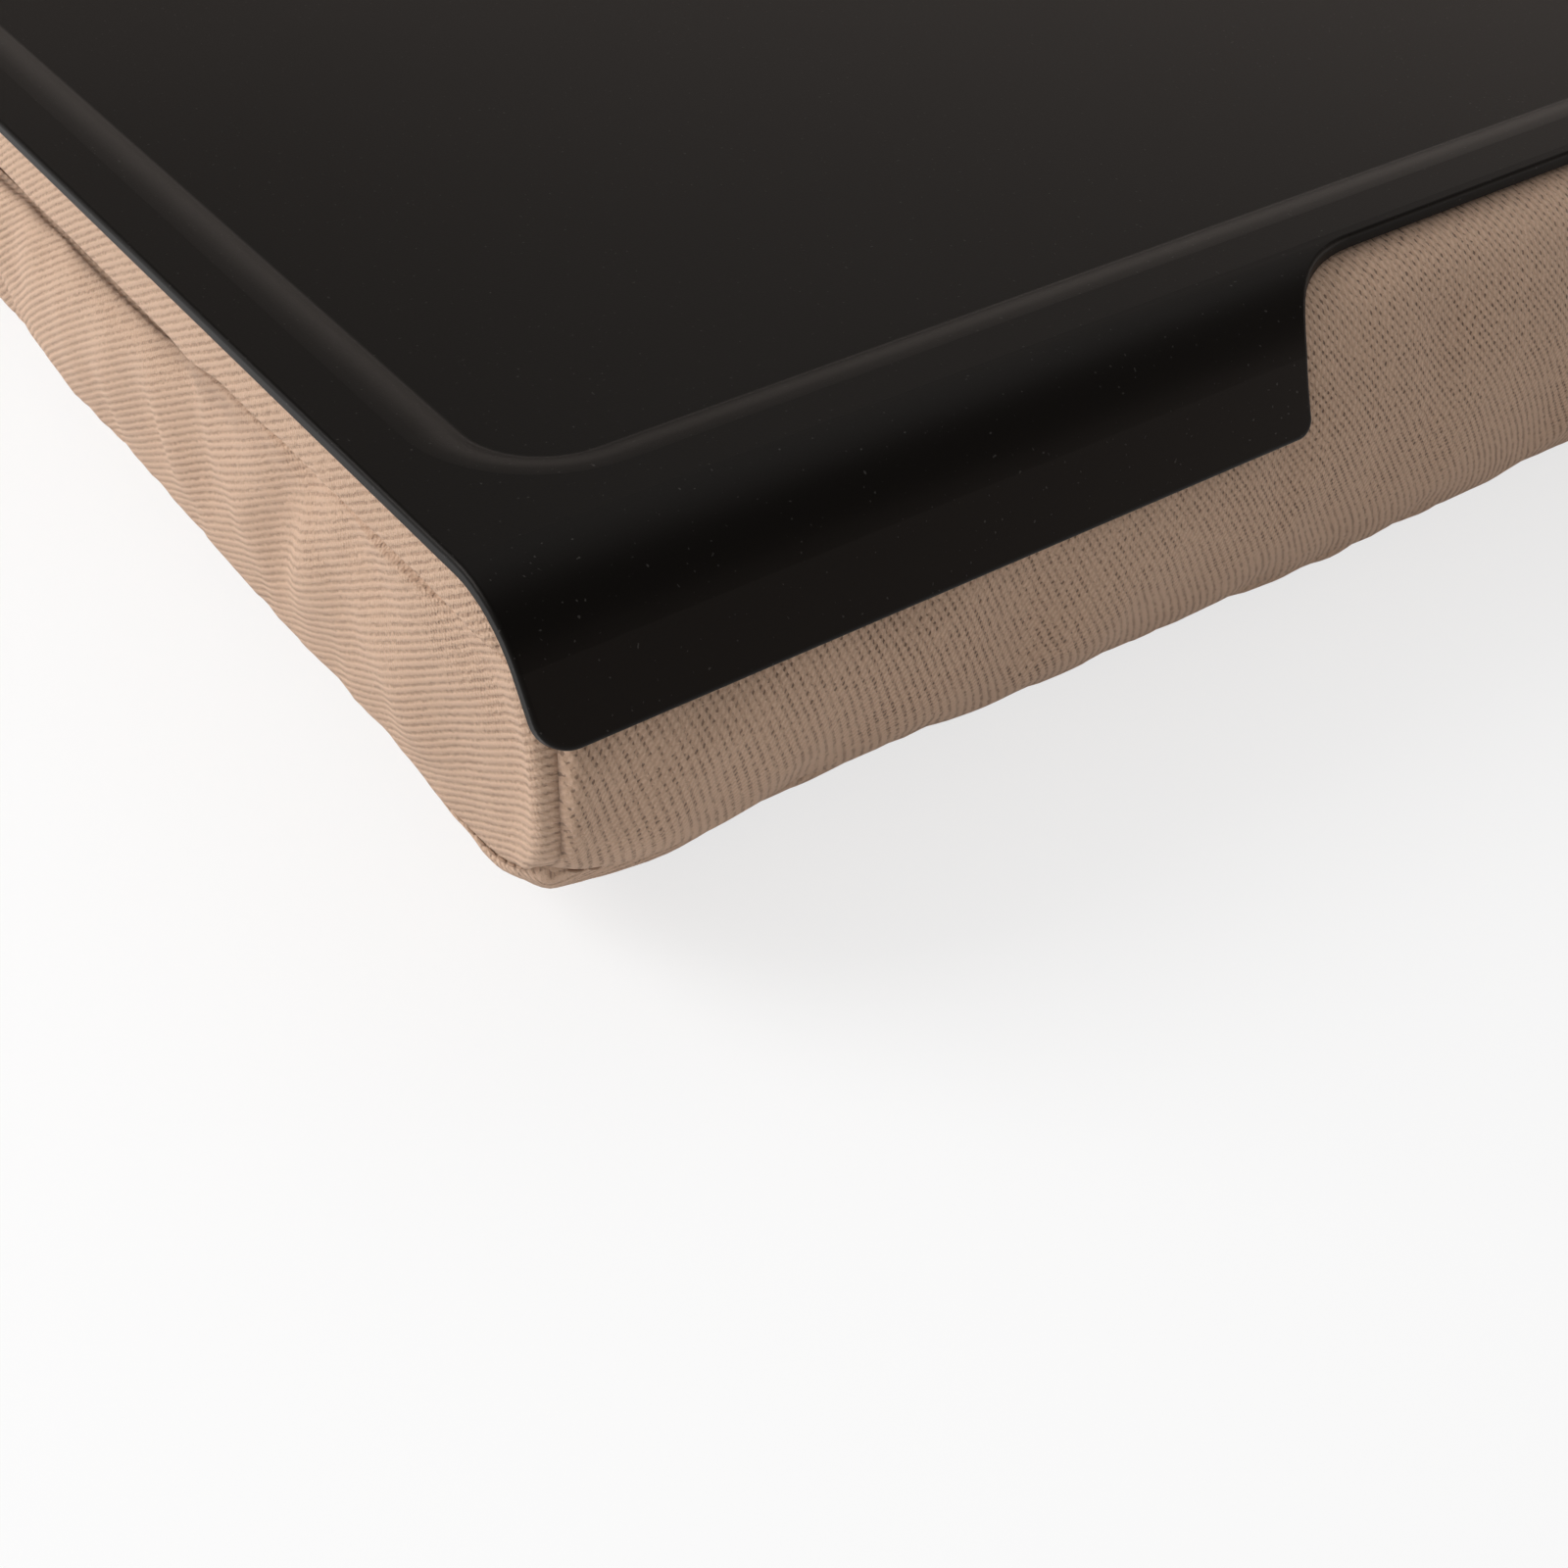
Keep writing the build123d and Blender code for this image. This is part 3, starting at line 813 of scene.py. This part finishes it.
    def underside(self, grid: np.ndarray) -> np.ndarray:
        """Height of the underside's crown and its lumps.

        Args:
            grid: Grid points, whose heights are the seam's blended inward.

        Returns:
            The height of each point.
        """
        last = self.rows[-1]
        x, y = grid[..., 0], grid[..., 1]
        room = np.minimum(last.half_x - np.abs(x), last.half_y - np.abs(y))
        u = np.clip((last.half_x - np.abs(x)) / self.patch_inset_x, 0, 1)
        v = np.clip((last.half_y - np.abs(y)) / self.patch_inset_y, 0, 1)
        reach = np.minimum(u, v)
        fall = np.interp(reach, *zip(*self.crown))
        sagged = (grid[..., 2] - last.end_z) * np.exp(-room / self.seam_fade)
        height = last.end_z * (1 - fall) + sagged
        lumps = np.sin(x / 17 + y / 31) * np.sin(y / 19 - x / 43) * 0.9
        height = height + lumps * np.clip(room / 12, 0, 1) * np.clip(height / 3, 0, 1)
        return np.maximum(height, 0)

    def topside(self, grid: np.ndarray) -> np.ndarray:
        """Height of the cover's top, which dips below the four pads.

        Args:
            grid: Grid points.

        Returns:
            The height of each point.
        """
        x, y = np.abs(grid[..., 0]), np.abs(grid[..., 1])
        away = np.maximum(np.abs(x - self.pad_place[0]), np.abs(y - self.pad_place[1]))
        dip = np.clip(1 - (away - self.pad_reach) / self.pad_fade, 0, 1)
        dip = dip * dip * (3 - 2 * dip)
        puff = np.sin(grid[..., 0] / 23 + 1) * np.sin(grid[..., 1] / 27) * 0.25
        return self.top_z - self.pad_dip * dip + puff * (1 - dip)


class CushionCover:
    """The stuffed cover, made as one skin, blown up as cloth and cut into its sewn panels."""

    names = (
        "cover_top_panel",
        "cover_bottom_panel",
        "cover_end_band_right",
        "cover_back_band",
        "cover_end_band_left",
        "cover_front_band_lower",
        "cover_front_band_upper",
        "slit",
    )
    # The cloth is stiff at the zip, between these limits of X
    zip_reach = 158
    cloth_frames = 20
    cloth_cap = 1.8
    cloth_thickness = 0.8
    bag_thickness = 0.4
    bag_depth = 1.9
    bead_depth = 2.9
    fold_gain = 2.1
    # Where folds set in and fade out, across and along the ends and the long sides, and how fast
    end_folds = ((216, 4), (189, 5))
    long_folds = ((184, 3), (228, 6))
    # Heights below which the cloth hangs free of the tray and of the lap, and over what length
    tray_hold = (56.5, 5)
    lap_hold = (49.8, 4)
    # Depth and width of the seams' grooves, and height, place and width of the swell beside them
    groove = (0.9, 1.1)
    swell = (0.25, 3.2, 1.4)
    # Height of the puckers at the seams, and how far out they fade
    puckers = (0.07, 3.5)
    # Each side's folds: place and height of the low end and of the high end, width, lift
    folds = {
        Side.FRONT: (
            (86, 20, 94, 46, 3.2, 0.7), (104, 22, 100, 44, 4, -0.5), (118, 22, 109, 44, 3.5, 0.8),
            (130, 20, 128, 40, 5, -0.6), (143, 19, 143, 40, 3, 0.8),
            (148, 27, 161, 54, 4.4, -1.7), (158, 26, 172, 52, 5, 0.9), (194, 20, 189, 42, 5, 0.6),
            (206, 18, 204, 40, 5, -0.5), (70, 18, 74, 44, 4, 0.6), (40, 24, 52, 50, 5, -1),
            (20, 18, 28, 44, 5, 0.7), (-12, 20, -4, 46, 5, 0.7), (-44, 24, -58, 48, 5, -1),
            (-80, 18, -88, 46, 4, 0.8), (-120, 22, -112, 44, 4.5, 0.8),
            (-150, 26, -164, 50, 5, -1.1), (-186, 20, -192, 44, 5, 0.8),
        ),
        Side.RIGHT: (
            (-181, 18, -182, 36, 3, -1), (-170, 18, -172, 38, 6, 0.5),
            (-148, 16, -140, 36, 7, -0.9), (-104, 14, -96, 40, 9, 0.6),
            (-50, 16, -36, 50, 10, -0.6), (10, 14, 2, 50, 12, 0.7), (70, 16, 60, 48, 9, -0.8),
            (128, 16, 138, 40, 8, 0.7), (174, 18, 178, 38, 5, -0.9),
        ),
        Side.LEFT: (
            (-174, 18, -178, 38, 5, -0.9), (-132, 16, -120, 42, 8, 0.7),
            (-66, 16, -74, 48, 9, -0.8), (-8, 14, 4, 50, 12, 0.7), (58, 16, 46, 48, 8, -0.7),
            (116, 16, 122, 40, 8, 0.6), (180, 18, 181, 36, 4, -0.9),
        ),
        Side.BACK: (
            (-196, 20, -190, 44, 5, 0.7), (-160, 24, -148, 50, 5, -1.1),
            (-118, 20, -110, 46, 5, 0.8), (-70, 20, -78, 46, 6, 0.7), (-36, 24, -22, 50, 5, -1),
            (16, 20, 8, 46, 6, 0.8), (64, 22, 78, 48, 5, -0.9), (104, 20, 96, 46, 5, 0.8),
            (152, 24, 142, 48, 5, -0.9), (190, 20, 196, 44, 5, 0.8),
        ),
    }

    def __init__(self, form: CoverForm) -> None:
        """Keeps the form.

        Args:
            form: The sizes of the cover.
        """
        self.form = form
        self.points = self.normals = np.zeros((0, 3))
        self.faces: list[tuple[int, ...]] = []
        self.owner: list[int] = []
        self.inner_points = self.inner_normals = self.points
        self.inner_faces = self.faces
        self.seam_rows: list[list[int]] = []

    def owner_of(self, row: int, side: Side, x: float) -> int:
        """The panel that a square of the band belongs to.

        Args:
            row: The square's row, counted downward.
            side: The side that it lies on.
            x: Its place along X.

        Returns:
            The panel's number in the list of names.
        """
        if row < self.form.top_seam:
            return self.names.index("cover_top_panel")
        if side is Side.FRONT:
            if row < self.form.flap_row + 2:
                return self.names.index("cover_front_band_upper")
            if row == self.form.flap_row + 2 and abs(x) < self.form.slit_reach:
                return self.names.index("slit")
            return self.names.index("cover_front_band_lower")
        return 2 + side.value

    def lay_out(self) -> None:
        """Lays out the skin's points, squares and panels."""
        form = self.form
        rows = form.band_points()
        count = rows.shape[1]
        sides = form.column_sides()
        points = [point for row in rows for point in row]
        for row in range(len(rows) - 1):
            for column in range(count):
                after = (column + 1) % count
                a, b = row * count + column, row * count + after
                self.faces.append((a, a + count, b + count, b))
                middle = (rows[row][column][0] + rows[row][after][0]) / 2
                self.owner.append(self.owner_of(row, sides[column], middle))
        for owner, row in ((0, 0), (1, len(rows) - 1)):
            grid = form.fill(rows[row])
            height = form.underside(grid) if owner else form.topside(grid)
            index = form.rim_index(row * count)
            inner = index < 0
            index[inner] = len(points) + np.arange(int(inner.sum()))
            points.extend(np.dstack((grid[..., 0], grid[..., 1], height))[inner])
            for i in range(index.shape[0] - 1):
                for j in range(index.shape[1] - 1):
                    quad = (index[i, j], index[i + 1, j], index[i + 1, j + 1], index[i, j + 1])
                    self.faces.append(tuple(int(k) for k in (quad[::-1] if owner else quad)))
                    self.owner.append(owner)
        self.points = np.array(points)

    def side_masks(self) -> dict[Side, np.ndarray]:
        """How much each point belongs to each side, fading towards the corners.

        Returns:
            The share of each point, keyed by the side.
        """
        x, y = self.points[:, 0], self.points[:, 1]

        def band(out: np.ndarray, along: np.ndarray, limits: tuple[Pair, Pair]) -> np.ndarray:
            """Share of the points that lie far enough out and short of the corners."""
            (start, rise), (stop, fall) = limits
            return np.clip((out - start) / rise, 0, 1) * np.clip((stop - along) / fall, 0, 1)

        ends = band(np.abs(x), np.abs(y), self.end_folds)
        longs = band(np.abs(y), np.abs(x), self.long_folds)
        return {
            Side.RIGHT: ends * (x > 0),
            Side.LEFT: ends * (x < 0),
            Side.BACK: longs * (y > 0),
            Side.FRONT: longs * (y < 0),
        }

    def press_folds(self) -> None:
        """Presses the folds into the bands."""
        masks = self.side_masks()
        outward = {Side.RIGHT: (1, 0), Side.BACK: (0, 1), Side.LEFT: (-1, 0), Side.FRONT: (0, -1)}
        slack = self.slack()
        moved = self.points.copy()
        for side, folds in self.folds.items():
            along = self.points[:, 1 if side in (Side.RIGHT, Side.LEFT) else 0]
            for sizes in folds:
                lift = self.fold_gain * Fold(*sizes).lift(along, self.points[:, 2])
                lift = lift * masks[side] * slack
                moved[:, :2] += lift[:, None] * np.array(outward[side])
        self.points = moved

    def slack(self) -> np.ndarray:
        """How freely each point may move, from 0 at the zip and on the patch to 1.

        Returns:
            The freedom of each point.
        """
        x, y, z = self.points.T
        (tray_z, tray_fade), (lap_z, lap_fade) = self.tray_hold, self.lap_hold
        near_tray = np.clip((tray_z - z) / tray_fade, 0.15, 1)
        at_zip = (y < -184) & (np.abs(x) < self.zip_reach)
        lapped = np.where(at_zip, np.clip((lap_z - z) / lap_fade, 0.0, 1), 1)
        patch = np.clip(z / 3, 0, 1)
        top = np.where(z > 57, 0.12, 1)
        return near_tray * lapped * patch * top

    def owners_of_points(self) -> dict[int, set[int]]:
        """The panels that meet at each point.

        Returns:
            The panels' numbers, keyed by the point's number.
        """
        owners: dict[int, set[int]] = {}
        for face, owner in zip(self.faces, self.owner):
            for point in face:
                owners.setdefault(point, set()).add(owner)
        return owners

    def make_skin(self) -> bpy.types.Object:
        """Makes the skin as a Blender object.

        Returns:
            The skin, with one mark for each panel.
        """
        mesh = bpy.data.meshes.new("cover_skin")
        mesh.from_pydata((self.points * MM).tolist(), [], self.faces)
        mesh.polygons.foreach_set("material_index", self.owner)
        for name in self.names:
            mesh.materials.append(bpy.data.materials.new(name + "_mark"))
        mesh.update()
        return link("cover_skin", mesh)

    def blow_up(self, skin: bpy.types.Object) -> None:
        """Runs the cloth with a little pressure and takes over a capped share of its moves.

        Args:
            skin: The skin, whose points are moved.
        """
        pinned = skin.vertex_groups.new(name="sewn")
        seams = {point for point, found in self.owners_of_points().items() if len(found) > 1}
        held = seams | set(np.flatnonzero(self.slack() < 0.05).tolist())
        pinned.add(sorted(held), 1.0, "REPLACE")
        cloth = skin.modifiers.new("cloth", "CLOTH")
        settings = cloth.settings
        settings.quality = 4
        settings.mass = 0.25
        settings.tension_stiffness = 12
        settings.compression_stiffness = 12
        settings.shear_stiffness = 4
        settings.bending_stiffness = 0.6
        settings.use_pressure = True
        settings.uniform_pressure_force = 3.0
        settings.shrink_min = -0.012
        settings.vertex_group_mass = "sewn"
        settings.effector_weights.gravity = 0.0
        cloth.point_cache.frame_start = 1
        cloth.point_cache.frame_end = self.cloth_frames
        scene = bpy.context.scene
        for frame_number in range(1, self.cloth_frames + 1):
            scene.frame_set(frame_number)
        solved = skin.evaluated_get(bpy.context.evaluated_depsgraph_get())
        settled = np.array([v.co for v in solved.data.vertices]) / MM
        skin.modifiers.remove(cloth)
        scene.frame_set(1)
        move = settled - self.points
        length = np.linalg.norm(move, axis=1)
        LOG.info("cloth moved points by %.2f mm at most, %.2f mean", length.max(), length.mean())
        cap = self.cloth_cap * self.slack()
        move *= np.minimum(1, cap / np.maximum(length, 1e-6))[:, None]
        self.points = self.points + move

    def refine(self, skin: bpy.types.Object) -> None:
        """Divides the skin once and presses in its seams.

        Args:
            skin: The skin, whose mesh is replaced.
        """
        divide = skin.modifiers.new("divide", "SUBSURF")
        divide.levels = 1
        fine = bpy.data.meshes.new_from_object(
            skin.evaluated_get(bpy.context.evaluated_depsgraph_get())
        )
        skin.modifiers.remove(divide)
        skin.data = fine
        size = len(fine.vertices)
        points = np.zeros(size * 3)
        fine.vertices.foreach_get("co", points)
        points = points.reshape(-1, 3) / MM
        normals = np.array([v.normal for v in fine.vertices])
        self.faces = [tuple(p.vertices) for p in fine.polygons]
        self.owner = [p.material_index for p in fine.polygons]
        slit = self.names.index("slit")
        owners = self.owners_of_points()
        seams = [p for p, found in owners.items() if len(found) > 1 and slit not in found]
        tree = KDTree(len(seams))
        for number, point in enumerate(seams):
            tree.insert(points[point], number)
        tree.balance()
        near = np.array([tree.find(p)[2] for p in points])
        along = points.sum(axis=1)
        x, y, z = points.T
        depth, width = self.groove
        rise, place, breadth = self.swell
        groove = -depth * np.exp(-((near / width) ** 2))
        groove = groove + rise * np.exp(-(((near - place) / breadth) ** 2))
        wave = np.sin(along * 0.83 + np.sin(along * 0.21) * 2.1) + 0.6 * np.sin(along * 1.37 + 1)
        height, fade = self.puckers
        pucker = height * np.exp(-near / fade) * wave * np.clip(near / 1.5, 0, 1)
        at_lap = np.where((y < -183) & (z > 49.5), 0.45, 1)
        under_tray = np.where(z > 57, 0.2, 1)
        at_corner = np.where((np.abs(x) > 219) & (np.abs(y) > 179) & (z < 27), 0.35, 1)
        amount = (groove + pucker) * at_lap * under_tray * at_corner
        points += normals * amount[:, None]
        points[:, 2] = np.maximum(points[:, 2], 0)
        self.points = points
        self.normals = normals
        self.seam_rows = self.sewn_lines(owners)
        fine.vertices.foreach_set("co", (points * MM).ravel())
        fine.update()

    def sewn_lines(self, owners: dict[int, set[int]]) -> list[list[int]]:
        """Point numbers along the lower seam and the lap, in order.

        Args:
            owners: The panels that meet at each point.

        Returns:
            One list of points for each line of stitches.
        """
        bottom = self.names.index("cover_bottom_panel")
        lap = {self.names.index(f"cover_front_band_{part}") for part in ("upper", "lower")}
        links: dict[int, list[int]] = {}
        for face in self.faces:
            for a, b in zip(face, face[1:] + face[:1]):
                links.setdefault(a, []).append(b)
                links.setdefault(b, []).append(a)
        found = []
        for mine in (
            {p for p, who in owners.items() if bottom in who and len(who) > 1},
            {p for p, who in owners.items() if lap <= who},
        ):
            while mine:
                ends = [p for p in mine if sum(q in mine for q in set(links[p])) == 1]
                here = min(ends) if ends else min(mine)
                line = []
                while here is not None:
                    line.append(here)
                    mine.discard(here)
                    after = [q for q in links[here] if q in mine]
                    here = after[0] if after else None
                if len(line) > 12:
                    found.append(line)
        return found

    def stitches(self) -> bpy.types.Object:
        """The sewing thread, as one mesh of short slack stitches.

        Returns:
            The thread.
        """
        thread = Thread()
        verts: list[tuple[float, ...]] = []
        faces: list[tuple[int, ...]] = []
        for line in self.seam_rows:
            normals = self.normals[line]
            points, sides = thread.sew(self.points[line] + normals * thread.lift, normals)
            faces += [tuple(len(verts) + k for k in side) for side in sides]
            verts += [tuple(point * MM) for point in points]
        piece = smooth_object("cover_stitching", verts, faces)
        twist = PlainFinish("sewing_thread", (0.26, 0.16, 0.10), (0.42, 0.27, 0.18), 0.3, 0.1, 0.7)
        piece.data.materials.append(twist.material())
        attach(piece, "cushion")
        return piece

    def cut(
        self, title: str, points: np.ndarray, faces: Sequence[tuple[int, ...]]
    ) -> bpy.types.Object:
        """Cuts some faces out of the skin as an object of their own.

        Args:
            title: The object's name.
            points: All the skin's points, in millimetres.
            faces: The faces that it takes.

        Returns:
            The object.
        """
        used = sorted({v for f in faces for v in f})
        place = {v: k for k, v in enumerate(used)}
        moved = [tuple(place[v] for v in f) for f in faces]
        return smooth_object(title, (points[used] * MM).tolist(), moved)

    def panel(self, name: str) -> bpy.types.Object:
        """One sewn panel cut from the skin.

        Args:
            name: The panel's node name.

        Returns:
            The panel.
        """
        number = self.names.index(name)
        mine = [f for f, o in zip(self.faces, self.owner) if o == number]
        piece = self.cut(name + "_cloth", self.points, mine)
        thicken(piece, self.cloth_thickness)
        piece.data.materials.append(panel_cloth(name).material())
        declare_soft(piece, name)
        return piece

    def skip_hems(self) -> None:
        """Lets the inner form pass straight behind the lap's hems."""
        count = len(self.form.column_sides())
        first = self.form.flap_row
        last = first + self.form.hem_rows
        for values in (self.inner_points, self.inner_normals):
            top = values[first * count : (first + 1) * count].copy()
            bottom = values[last * count : (last + 1) * count].copy()
            for row in range(first + 1, last):
                share = (row - first) / (last - first)
                values[row * count : (row + 1) * count] = top * (1 - share) + bottom * share

    def inner(self, name: str, depth: float, keep: Callable[[float], bool]) -> bpy.types.Object:
        """A piece that lies inside the cover at an even depth.

        Args:
            name: The node that it stands for.
            depth: How far it lies below the skin, in millimetres.
            keep: Says which heights belong to it.

        Returns:
            The piece.
        """
        points = self.inner_points - self.inner_normals * depth
        # It stays behind the zip, whose tapes hang above 46 mm
        behind = 181.0 + 7.0 * np.clip((46.0 - points[:, 2]) / 5, 0, 1)
        points[:, 1] = np.maximum(points[:, 1], -behind)
        mine = [f for f in self.inner_faces if keep(points[list(f), 2].mean())]
        piece = self.cut(name + "_inside", points, mine)
        declare_soft(piece, name)
        return piece

    def fill_inside(self) -> list[bpy.types.Object]:
        """Builds the inner bag's two panels and the beads in it.

        Returns:
            The three pieces.
        """
        cotton = PlainFinish("bag_cotton", (0.6, 0.59, 0.55), (0.8, 0.79, 0.75), 0.5, 0.1, 0.85)
        beads = PlainFinish("foam_beads", (0.7, 0.7, 0.69), (0.9, 0.9, 0.89), 2.0, 0.8, 0.75)
        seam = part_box("bag_upper_panel")[0][2] / MM
        made = [
            self.inner("bag_upper_panel", self.bag_depth, lambda z: z > seam),
            self.inner("bag_lower_panel", self.bag_depth, lambda z: z <= seam),
            self.inner("bead_filling", self.bead_depth, lambda z: True),
        ]
        for piece in made[:2]:
            thicken(piece, self.bag_thickness)
        for piece, finish in zip(made, (cotton, cotton, beads)):
            piece.data.materials.append(finish.material())
        return made

    def build(self) -> list[bpy.types.Object]:
        """Builds the cover's panels and what fills them.

        Returns:
            All the cushion's soft pieces.
        """
        self.lay_out()
        skin = self.make_skin()
        self.blow_up(skin)
        self.press_folds()
        self.points[:, 2] = np.maximum(self.points[:, 2], 0)
        skin.data.vertices.foreach_set("co", (self.points * MM).ravel())
        skin.data.update()
        self.inner_points = self.points.copy()
        self.inner_normals = np.array([v.normal for v in skin.data.vertices])
        self.inner_faces = self.faces
        self.skip_hems()
        made = self.fill_inside()
        self.refine(skin)
        made += [self.panel(name) for name in self.names[:-1]]
        made.append(self.stitches())
        bpy.data.objects.remove(skin)
        return made


class Studio:
    """Floor, lights, world and the camera at the photo's angle."""

    camera_place = (0.40735, -0.2811, 0.2120)
    camera_right = (0.57786, 0.81614, 0.0)
    camera_up = (-0.53004, 0.37529, 0.76041)
    lens = 49.77
    sensor = 36.0
    floor_reach = 6.0
    # Share of plain white in the floor near the object, which leaves the rest to its shadow
    floor_white = 0.74
    # Name, place, size and power of each soft box
    boxes = (
        ("key", (-0.6, -1.15, 0.85), 0.9, 18.8),
        ("top", (-0.5, 0.6, 1.5), 1.3, 4.0),
    )
    warm_white = (1, 0.87, 0.79)

    def build(self) -> None:
        """Sets up everything that isn't part of the object."""
        self.floor()
        self.lamps()
        self.camera()
        bpy.context.scene.view_settings.view_transform = "Standard"

    def rays(self, kit: NodeKit) -> tuple[Shade, Shade, Shade]:
        """1 or 0 for the camera's own rays, mirrored rays and rays through glass."""
        names = ("Is Camera Ray", "Is Glossy Ray", "Is Transmission Ray")
        return tuple(kit.make("ShaderNodeLightPath", {}, {}, name) for name in names)

    def seen(self, kit: NodeKit) -> Shade:
        """1 for the camera, mirrors and glass, 0 for light on the object."""
        camera, glossy, through = self.rays(kit)
        return (camera + glossy + through).clamped()

    def floor(self) -> None:
        """A plain pale floor, whose shadows look light."""
        mesh = bpy.data.meshes.new("floor")
        reach = self.floor_reach
        corners = [(-reach, -reach, 0), (reach, -reach, 0), (reach, reach, 0), (-reach, reach, 0)]
        mesh.from_pydata(corners, [], [(0, 1, 2, 3)])
        floor = link("floor", mesh)
        kit = NodeKit("floor_pale")
        floor.data.materials.append(kit.finish(base_color=(0.93, 0.93, 0.93, 1), roughness=0.9))
        glow = kit.make("ShaderNodeEmission", {}, {"Color": (1, 1, 1, 1), "Strength": 1.0})
        length = {"operation": "LENGTH"}
        away = kit.make("ShaderNodeVectorMath", length, {0: kit.place()}, "Value")
        share = self.floor_white + away.smooth(380.0, 1400.0) * (1 - self.floor_white)
        mixed = kit.make(
            "ShaderNodeMixShader",
            {},
            {0: self.seen(kit) * share, 1: Shade(kit, kit.shader.outputs[0]), 2: glow},
        )
        kit.tree.links.new(mixed.socket, kit.tree.nodes["Material Output"].inputs[0])

    def lamps(self) -> None:
        """Soft boxes and a room that is brightest low down behind the object."""
        for name, place, size, power in self.boxes:
            lamp = bpy.data.lights.new(name, "AREA")
            lamp.size = size
            lamp.energy = power
            holder = link(name, lamp)
            holder.location = place
            holder.rotation_euler = (-Vector(place)).to_track_quat("-Z", "Y").to_euler()
        self.room()

    def room(self) -> None:
        """The world: a room with a bright low backdrop, warm in mirrors, white to the camera."""
        world = bpy.data.worlds.new("room")
        world.use_nodes = True
        kit = NodeKit("room_helper")
        kit.tree = world.node_tree
        heading = kit.make("ShaderNodeTexCoord", {}, {}, "Generated")
        low = 1 - kit.along(heading, (0, 0, 1)).smooth(0.1, 0.45)
        behind = kit.along(heading, (-0.82, 0.57, 0)).smooth(-0.3, 0.8)
        camera, glossy, through = self.rays(kit)
        mirrored = (glossy + through).clamped()
        sideways = kit.along(heading, (0.578, 0.816, 0.0))
        image = (low * 0.84 + 0.16) * (sideways * 0.7 + 0.87)
        lit = (low * behind * 1.1 + 0.42) * (1 - mirrored) + image * mirrored
        strength = lit * (1 - camera) + camera
        background = world.node_tree.nodes["Background"]
        kit.plug(background.inputs["Color"], kit.blend(mirrored, (1, 1, 1), self.warm_white))
        kit.plug(background.inputs["Strength"], strength)
        bpy.context.scene.world = world

    def camera(self) -> None:
        """The camera, placed from the photo's vanishing points."""
        data = bpy.data.cameras.new("photo_view")
        data.lens = self.lens
        data.sensor_width = self.sensor
        data.clip_start = 0.01
        camera = link("photo_view", data)
        right, up = Vector(self.camera_right), Vector(self.camera_up)
        back = right.cross(up)
        turn = Matrix((right, up, back)).transposed().to_4x4()
        camera.matrix_world = Matrix.Translation(self.camera_place) @ turn
        bpy.context.scene.camera = camera


def dress_nodes() -> None:
    """Gives each CAD node that stays in sight its finish."""
    black = (0.004, 0.004, 0.004)
    plated = PlainFinish("zip_plate", (0.3, 0.27, 0.22), (0.5, 0.45, 0.38), 0.8, 0.02, 0.3, 1.0)
    finishes = {
        "tray": MouldedShell(),
        "hook_pad": PlainFinish("hook_tape", black, (0.03, 0.03, 0.03), 0.5, 0.5, 0.6),
        "loop_pad": PlainFinish("loop_tape", (0.006,) * 3, (0.04, 0.04, 0.04), 0.7, 0.4, 0.9),
        "zip_tape": PlainFinish("zip_tape", (0.3, 0.2, 0.14), (0.45, 0.31, 0.22), 0.4, 0.1, 0.8),
        "zip_coil": PlainFinish("zip_coil", (0.25, 0.17, 0.11), (0.4, 0.28, 0.2), 0.6, 0.1, 0.35),
    }
    made = {key: finish.material() for key, finish in finishes.items()}
    metal = plated.material()
    for name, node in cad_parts.items():
        if name.startswith(("cover", "bag", "bead")):
            continue
        chosen = next((m for key, m in made.items() if name.startswith(key)), metal)
        if not node.material_slots:
            node.data.materials.append(chosen)
        for holder in node.material_slots:
            holder.material = chosen


def main() -> None:
    """Builds the looks in order and reports each piece."""
    logging.basicConfig(level=logging.INFO, format="%(name)s: %(message)s")
    Studio().build()
    dress_nodes()
    for piece in CushionCover(CoverForm()).build():
        LOG.info("made %s with %d faces", piece.name, len(piece.data.polygons))


if __name__ == "__main__":
    main()
